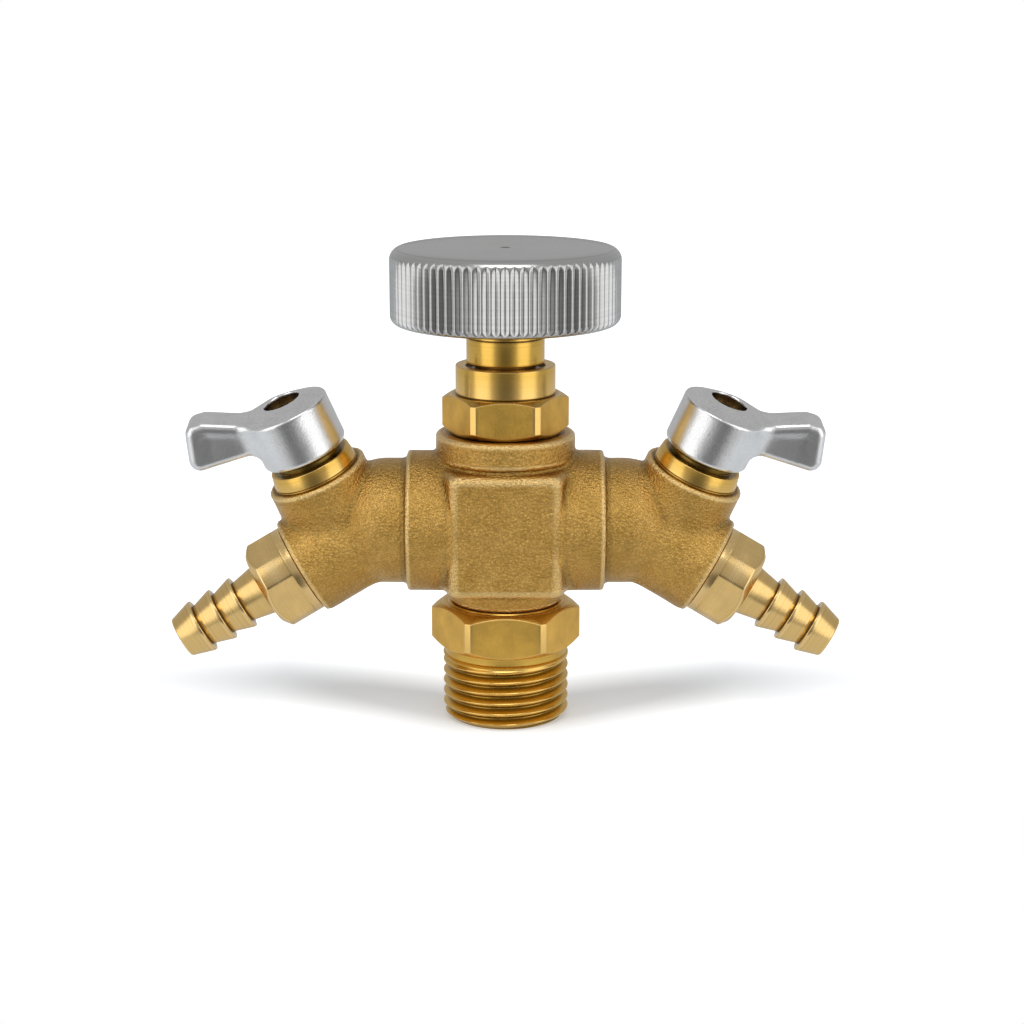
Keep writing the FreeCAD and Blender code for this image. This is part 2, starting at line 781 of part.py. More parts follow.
def make_plug(side_name, side):
    plug = turned(side_name + "_plug", [
        ("0", "-1*plug_foot"),
        ("plug_r", "-1*plug_foot"),
        *groove(PLUG_RINGS[1], "plug_r"),
        *groove(PLUG_RINGS[0], "plug_r"),
        ("plug_r", PLUG_SHOULDER),
        ("plug_stem_r", PLUG_SHOULDER),
        ("plug_stem_r", SQUARE_TOP),
        ("lever_screw_r + set_fit", SQUARE_TOP),
        ("lever_screw_r + set_fit", LEVER_SCREW_TIP + " - slip"),
        ("0", LEVER_SCREW_TIP + " - slip"),
    ])
    mill_flats(plug, side_name + "_square", HUB_FOOT, "square_height", "square_flats",
               "plug_stem_r", 4)
    bore = sketch_on(plug, "YZ_Plane", side_name + "_cross_bore_circle")
    circle(bore, "0", "-1*plug_bore_drop", "plug_bore_r")
    extrude(plug, "Pocket", side_name + "_cross_bore", bore, "2*plug_r + cut_past", both_ways=True)
    on_stem(plug, side)
    ring_group = seals(side_name + "_plug_seals", PLUG_RINGS, "plug_r")
    on_stem(ring_group, side)
    return [plug, ring_group]


def make_gland(side_name, side):
    washer = turned(side_name + "_thrust_washer", [
        ("plug_stem_r + running_fit", PLUG_SHOULDER + " + slip"),
        ("plug_r - slip", PLUG_SHOULDER + " + slip"),
        ("plug_r - slip", GLAND_FOOT),
        ("plug_stem_r + running_fit", GLAND_FOOT),
    ])
    nut = turned(side_name + "_gland_nut", [
        ("plug_stem_r + running_fit", GLAND_FOOT),
        ("gland_thread_r", GLAND_FOOT),
        ("gland_thread_r", "stem_boss_top"),
        ("gland_ring_foot_r", "stem_boss_top"),
        ("gland_ring_top_r", GLAND_TOP),
        ("gland_lip_r", GLAND_TOP),
        ("gland_lip_r", GLAND_LIP_TOP),
        ("plug_stem_r + running_fit", GLAND_LIP_TOP),
    ])
    for piece in (washer, nut):
        on_stem(piece, side)
    return [washer, nut]


WING_CORNERS = [
    ("wing_root", HUB_FOOT + " + wing_bottom"),
    ("wing_reach", HUB_FOOT + " + wing_bottom + wing_bottom_rise"),
    ("wing_tip_top_reach", HUB_FOOT + " + wing_tip_top"),
    ("wing_shoulder_reach", HUB_FOOT + " + wing_tip_top - wing_top_fall"),
    ("wing_root", HUB_FOOT + " + wing_neck_top"),
]
WEB_TOP = HUB_FOOT + " + wing_tip_top - web_top_rim"
WEB_CORNERS = [
    ("wing_root - cut_past", HUB_FOOT + " + wing_bottom - cut_past"),
    ("wing_reach - web_tip_rim", HUB_FOOT + " + wing_bottom - cut_past"),
    ("wing_tip_top_reach + web_corner_lead - web_tip_rim", WEB_TOP),
    ("wing_shoulder_reach - web_shoulder_lag", WEB_TOP + " - wing_top_fall"),
    ("wing_root - cut_past", HUB_FOOT + " + wing_neck_top - web_neck_rim"),
]


def make_hub(side_name):
    """The lever's hub: a turned boss with a screw hole, a recess for its head and a square hole."""
    hub = turned(side_name + "_hub", [
        ("lever_screw_r + running_fit", HUB_FOOT),
        ("hub_r - hub_foot_bevel", HUB_FOOT),
        ("hub_r", HUB_FOOT + " + hub_foot_bevel"),
        ("hub_r", HUB_SIDE_TOP + " - hub_bevel"),
        ("hub_r - hub_bevel", HUB_SIDE_TOP),
        ("hub_hole_r + hub_hole_rim", HUB_TOP),
        ("hub_hole_r", HUB_TOP),
        ("hub_hole_r", HUB_HOLE_FLOOR),
        ("lever_screw_r + running_fit", HUB_HOLE_FLOOR),
    ])
    square = sketch_on(hub, "XY_Plane", side_name + "_square_hole", HUB_FOOT)
    half = "0.5*square_flats + set_fit"
    outline(square, [
        (minus(half), minus(half)),
        (half, minus(half)),
        (half, half),
        (minus(half), half),
    ])
    extrude(hub, "Pocket", side_name + "_drive_hole", square, "square_height + slip", reverse=True)
    return hub


def make_wing(side_name):
    """The lever's wing: a rounded plate with a web sunk into both faces, rooted inside the hub."""
    wing = new_body(side_name + "_wing")
    plan = sketch_on(wing, "XZ_Plane", side_name + "_wing_outline")
    outline(plan, WING_CORNERS)
    extrude(wing, "Pad", side_name + "_wing_plate", plan, "wing_thickness", both_ways=True)
    doc.recompute()
    tips = [(number(x), number(z)) for x, z in WING_CORNERS[1:4]]
    round_edges(wing, side_name + "_wing_corners", edges_across(wing.Tip.Shape, tips),
                "wing_corner_round")
    doc.recompute()
    half = 0.5 * number("wing_thickness")
    rim = face_outline(wing.Tip.Shape, -half) + face_outline(wing.Tip.Shape, half)
    bevel_edges(wing, side_name + "_wing_rim", rim, "wing_edge_bevel")
    faces = (("front", "0.5*wing_thickness", False), ("back", "-0.5*wing_thickness", True))
    for face, lift, reverse in faces:
        web = sketch_on(wing, "XZ_Plane", f"{side_name}_web_{face}", lift)
        outline(web, WEB_CORNERS)
        extrude(wing, "Pocket", f"{side_name}_recess_{face}", web,
                "0.5*wing_thickness - 0.5*web_thickness", reverse=reverse)
    return wing


def make_lever(side_name, side):
    lever = doc.addObject("Part::MultiFuse", side_name + "_lever")
    lever.Label = side_name + "_lever"
    lever.Shapes = [make_hub(side_name), make_wing(side_name)]
    on_stem(lever, side)
    screw = turned(side_name + "_lever_screw", [
        ("0", LEVER_SCREW_TIP),
        ("lever_screw_r", LEVER_SCREW_TIP),
        ("lever_screw_r", HUB_HOLE_FLOOR),
        ("lever_screw_head_r", HUB_HOLE_FLOOR),
        ("lever_screw_head_r", HUB_HOLE_FLOOR + " + lever_screw_head_height"),
        ("lever_screw_socket_r", HUB_HOLE_FLOOR + " + lever_screw_head_height"),
        ("lever_screw_socket_r",
         HUB_HOLE_FLOOR + " + lever_screw_head_height - lever_screw_socket_depth"),
        ("0", HUB_HOLE_FLOOR + " + lever_screw_head_height - lever_screw_socket_depth"),
    ])
    on_stem(screw, side)
    return [lever, screw]


TAIL_SEAT = "outlet_face + tail_washer_thickness"
NUT_END = TAIL_SEAT + " + tail_nut_length"
RIDGES = 3


def ridge(number_from_nut):
    """Corners of one barb, outwards: root, steep back, land; the next cone starts from there."""
    back = f"outlet_face + tail_first_ridge + {number_from_nut}*tail_ridge_spacing"
    return [
        ("tail_root_r", back),
        ("tail_ridge_r", back),
        ("tail_ridge_r", back + " + tail_ridge_land"),
    ]


def make_tail(side_name, side):
    barbs = [corner for i in range(RIDGES) for corner in ridge(i)]
    tip = f"outlet_face + tail_first_ridge + {RIDGES - 1}*tail_ridge_spacing + tail_tip_length"
    tail = turned(side_name + "_hose_barb", [
        ("tail_bore_r", "outlet_face - tail_thread_length"),
        ("tail_thread_r", "outlet_face - tail_thread_length"),
        ("tail_thread_r", TAIL_SEAT),
        ("tail_nut_r", TAIL_SEAT),
        ("tail_nut_r", NUT_END + " - tail_nut_bevel"),
        ("tail_nut_r - bevel_spread*tail_nut_bevel", NUT_END),
        ("tail_last_cone_r", NUT_END),
        *barbs,
        ("tail_tip_r", tip),
        ("tail_bore_r", tip),
    ])
    turn = "tail_nut_turn" if side > 0 else "-1*tail_nut_turn"
    mill_flats(tail, side_name + "_nut_flats", TAIL_SEAT + " + tail_flange_length",
               "tail_nut_length - tail_flange_length", "tail_nut_flats", "tail_nut_r", 4, turn)
    washer = turned(side_name + "_barb_washer", [
        ("tail_thread_r + set_fit", "outlet_face"),
        ("tail_washer_r", "outlet_face"),
        ("tail_washer_r", TAIL_SEAT),
        ("tail_thread_r + set_fit", TAIL_SEAT),
    ])
    for piece in (tail, washer):
        on_outlet(piece, side)
    return [tail, washer]


for side_name, side in SIDES.items():
    for maker in (make_plug, make_gland, make_lever, make_tail):
        kept += maker(side_name, side)


# Checks, then one file to a piece

doc.recompute()
for thing in doc.Objects:
    if "Invalid" in thing.State or "Error" in thing.State:
        raise ValueError(f"{thing.Label} failed: {thing.State}")
os.makedirs("parts", exist_ok=True)
for piece in kept:
    shape = piece.Shape
    if shape.isNull() or not shape.isValid():
        raise ValueError(f"{piece.Label} has no valid shape")
    print(f"{piece.Label}: {len(shape.Solids)} solid, {shape.Volume:.1f} mm3")
for piece in kept:
    piece.Shape.exportStep(f"parts/{piece.Label}.step")
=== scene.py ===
# %% [markdown]
# # Twin outlet valve
# A brass fitting: a threaded inlet nipple at the foot, a screw-down stop valve under a fluted hand
# wheel, and a quarter-turn plug cock with a wing lever and a hose tail on each arm.
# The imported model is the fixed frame. Every piece below is laid over it, in metres, and rides on
# one of its bodies, so the hand wheel and the levers still turn.

# %% Frame
import itertools
import math
import bmesh
import bpy
import numpy as np
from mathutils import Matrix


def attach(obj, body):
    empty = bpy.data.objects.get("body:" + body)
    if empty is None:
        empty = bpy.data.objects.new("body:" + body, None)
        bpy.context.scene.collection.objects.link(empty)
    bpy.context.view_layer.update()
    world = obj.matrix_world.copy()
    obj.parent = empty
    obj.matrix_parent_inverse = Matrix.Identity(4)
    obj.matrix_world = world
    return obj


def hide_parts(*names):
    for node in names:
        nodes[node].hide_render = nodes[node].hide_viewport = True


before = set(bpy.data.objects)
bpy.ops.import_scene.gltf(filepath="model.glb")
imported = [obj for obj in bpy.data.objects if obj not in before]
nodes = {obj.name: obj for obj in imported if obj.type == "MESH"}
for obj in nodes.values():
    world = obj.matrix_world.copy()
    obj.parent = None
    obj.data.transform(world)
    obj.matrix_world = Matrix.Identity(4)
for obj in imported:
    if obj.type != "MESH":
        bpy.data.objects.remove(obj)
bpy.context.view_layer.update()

# %% [markdown]
# ## The camera
# The photograph was taken from slightly above, with a long lens. The camera's place was worked out
# from the ellipses of the hand wheel and of the collars, so it is given as plain numbers.

# %% Camera
MM = 0.001
CAMERA_PLACE = (0.00106, -0.352, 0.1205)
CAMERA_PITCH = 13.67
CAMERA_LENS = 76.82

camera_data = bpy.data.cameras.new("photo_camera")
camera_data.lens = CAMERA_LENS
camera_data.sensor_width = 36.0
camera = bpy.data.objects.new("photo_camera", camera_data)
camera.location = CAMERA_PLACE
camera.rotation_euler = (math.radians(90.0 - CAMERA_PITCH), 0.0, 0.0)
bpy.context.scene.collection.objects.link(camera)
bpy.context.scene.camera = camera
print("camera height", CAMERA_PLACE[2], "m, pitch", CAMERA_PITCH)

# %% [markdown]
# ## Axes of the fitting
# Each cock has two tilted axes: the stem, which carries the lever, and the outlet, which carries
# the hose tail. Both lean a little towards the front. A piece is worked out upright, in
# millimetres, and is then stood on its axis with one rotation and one shift.

# %% Axes
ARM_HEIGHT = 33.55
AXES = {
    "stem": {"start": 27.56, "tilt": 22.6, "lean": 10.0, "sweep": 0.0},
    "outlet": {"start": 20.6, "tilt": 119.6, "lean": 0.0, "sweep": 8.0},
}
SIDES = {"left": -1, "right": 1}


def rotation(axis, degrees):
    """The 3 x 3 matrix that turns a point round X, Y or Z by an angle."""
    cos, sin = math.cos(math.radians(degrees)), math.sin(math.radians(degrees))
    i, j = {"x": (1, 2), "y": (2, 0), "z": (0, 1)}[axis]
    matrix = np.eye(3)
    matrix[i, i] = matrix[j, j] = cos
    matrix[i, j], matrix[j, i] = -sin, sin
    return matrix


def axis_turn(name, side):
    """Upright to tilted: a tilt about Y, then a lean about X or a sweep about Z. The left one gets
    half a turn about Z as well."""
    axis = AXES[name]
    turn = (rotation("x", side * axis["lean"]) @ rotation("z", -side * axis["sweep"])
            @ rotation("y", axis["tilt"]))
    return rotation("z", 180.0) @ turn if side < 0 else turn


def on_axis(points, name, side):
    """Stands upright points on a tilted axis: turned, then shifted to where the axis starts."""
    start = np.array([side * AXES[name]["start"], 0.0, ARM_HEIGHT])
    return points @ axis_turn(name, side).T + start


for name in AXES:
    print(name, "axis points along", np.round(axis_turn(name, 1)[:, 2], 3))

# %% [markdown]
# ## From arrays to a piece
# All shapes come as arrays of points and faces. One helper turns them into a mesh, makes the faces
# point outwards by the sign of the enclosed volume, rounds the shading and hangs the piece on its
# body. Values that change over the surface, such as how worn an edge is, go along as attributes,
# so that the materials can read them.

# %% Mesh helpers
def enclosed_volume(points, quads):
    """Sum over the faces of corner . (corner x corner) / 6, positive if they face outwards."""
    a, b, c, d = (points[quads[:, i]] for i in range(4))
    return (np.einsum("ij,ij->", a, np.cross(b, c)) + np.einsum("ij,ij->", a, np.cross(c, d))) / 6.0


WELD_DISTANCE, SHORTEST_EDGE = 2e-6, 1e-7


def add_piece(name, points, quads, body, stands_for, material, sharp=40.0, values=None):
    """A mesh from points in millimetres and four-cornered faces, riding on a body."""
    if enclosed_volume(points, quads) < 0:
        quads = quads[:, ::-1]
    mesh = bpy.data.meshes.new(name)
    mesh.from_pydata((points * MM).tolist(), [], quads.tolist())
    for key, value in (values or {}).items():
        mesh.attributes.new(key, "FLOAT", "POINT").data.foreach_set(
            "value", np.ascontiguousarray(value, np.float32).ravel())
    work = bmesh.new()
    work.from_mesh(mesh)
    bmesh.ops.remove_doubles(work, verts=work.verts, dist=WELD_DISTANCE)
    bmesh.ops.dissolve_degenerate(work, edges=work.edges, dist=SHORTEST_EDGE)
    work.to_mesh(mesh)
    work.free()
    mesh.shade_smooth()
    mesh.set_sharp_from_angle(angle=math.radians(sharp))
    mesh.materials.append(material)
    piece = bpy.data.objects.new(name, mesh)
    bpy.context.scene.collection.objects.link(piece)
    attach(piece, body)
    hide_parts(*stands_for)
    print(f"{name}: {len(mesh.polygons)} faces, {enclosed_volume(points, quads):.0f} mm3")


def grid_quads(rows, columns):
    """The faces of a grid of points that closes on itself both ways."""
    i, j = np.meshgrid(np.arange(rows), np.arange(columns), indexing="ij")
    below, beside = (i + 1) % rows, (j + 1) % columns
    corners = [i * columns + j, i * columns + beside, below * columns + beside, below * columns + j]
    return np.stack(corners, -1).reshape(-1, 4)


print("a closed grid of 3 by 4 points has", len(grid_quads(3, 4)), "faces")

# %% [markdown]
# ## Shader building blocks
# Brass shows three finishes here: the sand-cast skin, the bright turned rings and the duller flats
# of the drawn bar. They share two effects, built once as node groups: a grain in the surface, and
# the fine rings that a lathe tool leaves. Each group gives heights and tones that change over the
# surface, and the material keeps its own Principled shader.

# %% Node helpers
def feed(tree, node, inputs):
    """Fills inputs of a node, told by name or number: each with the output of another node, a
    colour or a number."""
    for key, value in inputs.items():
        if isinstance(value, bpy.types.NodeSocket):
            tree.links.new(value, node.inputs[key])
        else:
            node.inputs[key].default_value = (*value, 1.0) if isinstance(value, tuple) else value
    return node


def new_node(tree, kind, inputs, **settings):
    node = tree.nodes.new(kind)
    for key, value in settings.items():
        setattr(node, key, value)
    return feed(tree, node, inputs)


def math_node(tree, operation, first, second=0.0):
    """One arithmetic step on numbers or outputs of other nodes."""
    return new_node(tree, "ShaderNodeMath", {0: first, 1: second}, operation=operation).outputs[0]


def spread(tree, value, low, high, to_low, to_high):
    """Stretches a value from one range to another and stops it at the ends."""
    inputs = {"Value": value, "From Min": low, "From Max": high, "To Min": to_low,
              "To Max": to_high}
    return new_node(tree, "ShaderNodeMapRange", inputs, clamp=True).outputs["Result"]


def mixed_colour(tree, share, first, second):
    """A colour between two, by a share from 0 to 1."""
    inputs = {"Factor": share, 6: first, 7: second}
    return new_node(tree, "ShaderNodeMix", inputs, data_type="RGBA").outputs[2]


def mixed_value(tree, share, first, second):
    """A number between two, by a share from 0 to 1."""
    inputs = {0: share, 2: first, 3: second}
    return new_node(tree, "ShaderNodeMix", inputs, data_type="FLOAT").outputs[0]


def surface_value(tree, name):
    """A value that the piece's mesh carries from point to point."""
    return new_node(tree, "ShaderNodeAttribute", {}, attribute_name=name).outputs["Fac"]


def place_in(tree, kind):
    """Where a point lies: Object for a piece, Generated for a direction in the world."""
    return tree.nodes.new("ShaderNodeTexCoord").outputs[kind]


def new_group(name, inputs, outputs):
    group = bpy.data.node_groups.new(name, "ShaderNodeTree")
    for way, keys in (("INPUT", inputs), ("OUTPUT", outputs)):
        for key in keys:
            group.interface.new_socket(name=key, in_out=way, socket_type="NodeSocketFloat")
    return group, group.nodes.new("NodeGroupInput"), group.nodes.new("NodeGroupOutput")


print("node helpers ready: each takes a tree and gives an output to carry on with")


# %% Grain and lathe rings as node groups
def make_grain_group():
    """Sand grain: rounded pebbles of one size, with finer noise on them and slow patches of tone.
    Size is the number of pebbles in a metre."""
    group, given, made = new_group("sand_grain", ["Size"], ["Height", "Patches"])
    place, size = place_in(group, "Object"), given.outputs["Size"]
    pebbles = new_node(group, "ShaderNodeTexVoronoi",
                       {"Vector": place, "Scale": size, "Smoothness": 0.6}, feature="SMOOTH_F1")
    fine = new_node(group, "ShaderNodeTexNoise",
                    {"Vector": place, "Scale": math_node(group, "MULTIPLY", size, 1.3),
                     "Detail": 4.0, "Roughness": 0.6})
    patches = new_node(group, "ShaderNodeTexNoise",
                       {"Vector": place, "Scale": 260.0, "Detail": 3.0})
    domes = math_node(group, "SUBTRACT", 1.0, pebbles.outputs["Distance"])
    height = math_node(group, "ADD", math_node(group, "MULTIPLY", domes, 0.55),
                       math_node(group, "MULTIPLY", fine.outputs["Fac"], 0.9))
    feed(group, made, {"Height": height, "Patches": patches.outputs["Fac"]})
    return group


def make_ring_group():
    """Lathe rings: noise along the turned profile only, read from the attribute "along" in mm.
    Rings is how quickly it changes."""
    group, given, made = new_group("lathe_rings", ["Rings"], ["Height", "Streaks"])
    rings = math_node(group, "MULTIPLY", surface_value(group, "along"), given.outputs["Rings"])
    fine = new_node(group, "ShaderNodeTexNoise", {"W": rings, "Scale": 1.0, "Detail": 3.0},
                    noise_dimensions="1D")
    slow = math_node(group, "MULTIPLY", rings, 0.21)
    broad = new_node(group, "ShaderNodeTexNoise", {"W": slow, "Scale": 1.0, "Detail": 2.0},
                     noise_dimensions="1D")
    feed(group, made, {"Height": fine.outputs["Fac"], "Streaks": broad.outputs["Fac"]})
    return group


GRAIN = make_grain_group()
RINGS = make_ring_group()
print("node groups:", GRAIN.name, RINGS.name)

# %% [markdown]
# ## Materials
# Metal is one Principled shader with Metallic at 1, so its colour is the colour of its highlights.
# What tells the finishes apart is roughness and relief. Edges are a little lighter, partly from the
# rubbing of hands and tools and partly as a painted highlight: the attribute "edge" is above zero
# there. It is below zero in hollows, grooves and gaps between parts, which get painted shade.

# %% A metal from its parts
def new_material(name, inputs):
    """A material, its node tree, and its Principled shader with some inputs filled."""
    material = bpy.data.materials.new(name)
    material.use_nodes = True
    tree = material.node_tree
    return material, tree, feed(tree, tree.nodes["Principled BSDF"], inputs)


def use_group(tree, group, **values):
    node = tree.nodes.new("ShaderNodeGroup")
    node.node_tree = group
    return feed(tree, node, values)


def relief_normal(tree, height, distance, below=None):
    """A Bump node, over another one if it is given: distance is the relief's height in metres."""
    inputs = {"Height": height, "Distance": distance}
    if below is not None:
        inputs["Normal"] = below
    return new_node(tree, "ShaderNodeBump", inputs).outputs["Normal"]


def painted_shade_in_hollows(tree, skin, edge, painted_shade):
    """The skin, going over to the colour of painted shade where the edge value falls below zero."""
    return mixed_colour(tree, spread(tree, edge, -1.0, -0.15, 0.9, 0.0), skin, painted_shade)


def make_cast_metal(name, dark, light, edge_wear_and_light, painted_shade, size, relief, rough, speckle):
    """Cast skin: pebbled relief, patches between two tones, edges paler and smoother from wear and
    a painted highlight, and painted shade in hollows."""
    material, tree, shader = new_material(name, {"Metallic": 1.0})
    grain = use_group(tree, GRAIN, Size=size)
    height, edge = grain.outputs["Height"], surface_value(tree, "edge")
    tone = spread(tree, grain.outputs["Patches"], 0.35, 0.65, 0.0, 1.0)
    skin = mixed_colour(tree, tone, dark, light)
    pits = spread(tree, height, 0.60, 0.82, speckle, 0.0)
    skin = mixed_colour(tree, pits, skin, tuple(0.5 * c for c in dark))
    crests = spread(tree, height, 0.82, 1.05, 0.0, 0.7 * speckle)
    skin = mixed_colour(tree, crests, skin, edge_wear_and_light)
    # Paler edges, partly from wear and partly a painted highlight; then painted shade where the
    # edge value is below zero.
    skin = mixed_colour(tree, spread(tree, edge, 0.1, 0.7, 0.0, 0.66), skin, edge_wear_and_light)
    feed(tree, shader, {"Base Color": painted_shade_in_hollows(tree, skin, edge, painted_shade),
                        "Roughness": spread(tree, edge, 0.0, 1.0, rough, rough - 0.14),
                        "Normal": relief_normal(tree, height, relief)})
    return material


BAR_GRAIN, BAR_RELIEF = 2600.0, 0.00003


def make_turned_metal(name, colour, streak, painted_shade, rings, relief, rough):
    """Turned metal: fine rings and streaks of tone along the profile, with the flats of the bar,
    marked by the attribute "milled", duller and mottled instead."""
    material, tree, shader = new_material(name, {"Metallic": 1.0})
    turned = use_group(tree, RINGS, Rings=rings)
    grain = use_group(tree, GRAIN, Size=BAR_GRAIN)
    milled, edge = surface_value(tree, "milled"), surface_value(tree, "edge")
    streaks = spread(tree, turned.outputs["Streaks"], 0.35, 0.7, 0.0, 1.0)
    mottle = spread(tree, grain.outputs["Patches"], 0.3, 0.7, 0.0, 1.0)
    dull = mixed_colour(tree, mottle, *(tuple(part * c for c in colour) for part in (0.95, 1.26)))
    skin = mixed_colour(tree, milled, mixed_colour(tree, streaks, colour, streak), dull)
    # Paler edges, partly from wear and partly a painted highlight; painted shade in hollows follows
    # below.
    pale = tuple(min(1.0, 0.12 + c) for c in colour)
    skin = mixed_colour(tree, spread(tree, edge, 0.0, 1.0, 0.0, 0.7), skin, pale)
    ring_rough = spread(tree, turned.outputs["Height"], 0.3, 0.7, rough - 0.04, rough + 0.05)
    bar_rough = spread(tree, grain.outputs["Height"], 0.5, 1.0, rough + 0.30, rough + 0.18)
    ring_height = math_node(tree, "MULTIPLY", turned.outputs["Height"],
                            math_node(tree, "SUBTRACT", 1.0, milled))
    bar_height = math_node(tree, "MULTIPLY", grain.outputs["Height"], milled)
    on_rings = relief_normal(tree, ring_height, relief)
    feed(tree, shader, {"Base Color": painted_shade_in_hollows(tree, skin, edge, painted_shade),
                        "Roughness": mixed_value(tree, milled, ring_rough, bar_rough),
                        "Normal": relief_normal(tree, bar_height, BAR_RELIEF, on_rings)})
    return material


def make_soft(name, dark, light, size, rough):
    """Rubber or fibre: no metal, two tones of fine speckle and a matt relief."""
    material, tree, shader = new_material(name, {"Roughness": rough})
    height = use_group(tree, GRAIN, Size=size).outputs["Height"]
    speckle = spread(tree, height, 0.5, 1.0, 0.0, 1.0)
    feed(tree, shader, {"Base Color": mixed_colour(tree, speckle, dark, light),
                        "Normal": relief_normal(tree, height, SOFT_RELIEF)})
    return material


# %% The finishes
# Colours of painted shade, laid into hollows, grooves and gaps between parts.
BRASS_PAINTED_SHADE = (0.12, 0.078, 0.02)
SILVER_PAINTED_SHADE = (0.10, 0.075, 0.05)
SOFT_RELIEF = 0.00002

CAST_BRASS = make_cast_metal(
    "cast_brass_skin", dark=(0.58, 0.338, 0.080), light=(0.70, 0.418, 0.112),
    edge_wear_and_light=(1.0, 0.73, 0.33), painted_shade=BRASS_PAINTED_SHADE,
    size=2500.0, relief=0.00021, rough=0.25, speckle=0.34)
CAST_SILVER = make_cast_metal(
    "satin_cast_silver", dark=(0.80, 0.80, 0.80), light=(0.87, 0.87, 0.87),
    edge_wear_and_light=(0.95, 0.95, 0.95), painted_shade=SILVER_PAINTED_SHADE,
    size=3600.0, relief=0.000018, rough=0.27, speckle=0.16)
INNER_BRASS = make_cast_metal(
    "turned_brass_inner", dark=(0.80, 0.51, 0.12), light=(0.86, 0.55, 0.14),
    edge_wear_and_light=(1.0, 0.80, 0.45), painted_shade=BRASS_PAINTED_SHADE,
    size=5200.0, relief=0.000004, rough=0.24, speckle=0.1)
TURNED_BRASS = make_turned_metal(
    "turned_brass_bright", colour=(0.78, 0.482, 0.100), streak=(0.72, 0.44, 0.086),
    painted_shade=BRASS_PAINTED_SHADE, rings=14.0, relief=0.000007, rough=0.22)
TAIL_BRASS = make_turned_metal(
    "turned_brass_pale", colour=(0.85, 0.59, 0.24), streak=(0.78, 0.525, 0.19),
    painted_shade=BRASS_PAINTED_SHADE, rings=14.0, relief=0.000007, rough=0.20)
TURNED_SILVER = make_turned_metal(
    "satin_turned_silver", colour=(0.555, 0.555, 0.55), streak=(0.50, 0.50, 0.495),
    painted_shade=SILVER_PAINTED_SHADE, rings=9.0, relief=0.000008, rough=0.21)
SEAL_RUBBER = make_soft("seal_rubber", (0.02, 0.02, 0.02), (0.05, 0.05, 0.05), 5000.0, 0.6)
RED_FIBRE = make_soft("pressed_fibre", (0.045, 0.018, 0.01), (0.10, 0.042, 0.024), 4000.0, 0.7)
print("finishes:", [m.name for m in bpy.data.materials if m.use_nodes])

# %% [markdown]
# ## The casting
# One sand casting holds everything: the centre block, the collars, the arms and the two elbows
# with their bosses. Its charm is in the soft blends between those forms and in the grainy skin.
# Separate tubes would cross in hard lines. So the casting is described by a distance: a number at
# every point of space that is negative inside the metal. Two distances melt into each other with
# a smooth minimum, which leaves the fillet of a real pattern, and the skin is drawn where the
# blended number is zero.

# %% Distances and blends
def smooth_min(first, second, reach):
    """The smaller of two values, lowered by (reach - |difference|)^2 / (4 reach) where they are
    close."""
    near = np.clip(reach - np.abs(first - second), 0.0, None)
    return np.minimum(first, second) - near * near / (4.0 * reach)


def smooth_max(first, second, reach):
    return -smooth_min(-first, -second, reach)


def eased(share):
    """3t^2 - 2t^3 of a share that stops at 0 and 1."""
    share = np.clip(share, 0.0, 1.0)
    return share * share * (3.0 - 2.0 * share)


def along_and_away(points, start, direction):
    """How far along an axis each point lies, and how far away from it."""
    apart = points - start
    along = apart @ direction
    return along, np.sqrt(np.maximum(np.einsum("ij,ij->i", apart, apart) - along * along, 0.0))


def bar_distance(points, start, direction, low, high, radius, rim=0.0):
    """Distance to a round bar along an axis: the hypotenuse of how far a point is outside its side
    and beyond its ends, with both faces drawn in by the rim's rounding and let out again."""
    along, away = along_and_away(points, start, direction)
    side = away - radius + rim
    end = np.maximum(low - along, along - high) + rim
    outside = np.hypot(np.maximum(side, 0.0), np.maximum(end, 0.0))
    return outside + np.minimum(np.maximum(side, end), 0.0) - rim


print("two faces that meet, melted over 1 mm, give", smooth_min(0.0, 0.0, 1.0))


# %% [markdown]
# The skin is drawn with surface nets: space is cut into small cubes, each cube that the surface
# passes through gets one point at the mean of its edge crossings, and neighbouring points join up
# in four-cornered faces. Afterwards every point is moved along the slope of the distance until it
# lies on the surface itself, so round forms stay truly round.

# %% Surface nets
def slope(field, points, step=0.03):
    """Central differences of the distance along X, Y and Z."""
    return np.stack([(field(points + shift) - field(points - shift)) / (2.0 * step)
                     for shift in step * np.eye(3)], -1)


def settled(points, quads, field, cell, rounds=3):
    """Evens the net out by moving points towards the mean of their faces, then drops each point
    onto the surface: point - distance * slope / slope^2, by at most half a cell."""
    for _ in range(2):
        middle = points[quads].mean(1)
        total, count = np.zeros_like(points), np.zeros(len(points))
        for i in range(4):
            np.add.at(total, quads[:, i], middle)
            np.add.at(count, quads[:, i], 1.0)
        points = 0.5 * points + 0.5 * total / count[:, None]
        for _ in range(rounds):
            fall = slope(field, points)
            steepness = np.maximum(np.einsum("ij,ij->i", fall, fall), 0.04)
            drop = (field(points) / steepness)[:, None] * fall
            length = np.linalg.norm(drop, axis=1, keepdims=True)
            points = points - drop * np.minimum(1.0, 0.5 * cell / np.maximum(length, 1e-9))
    return points


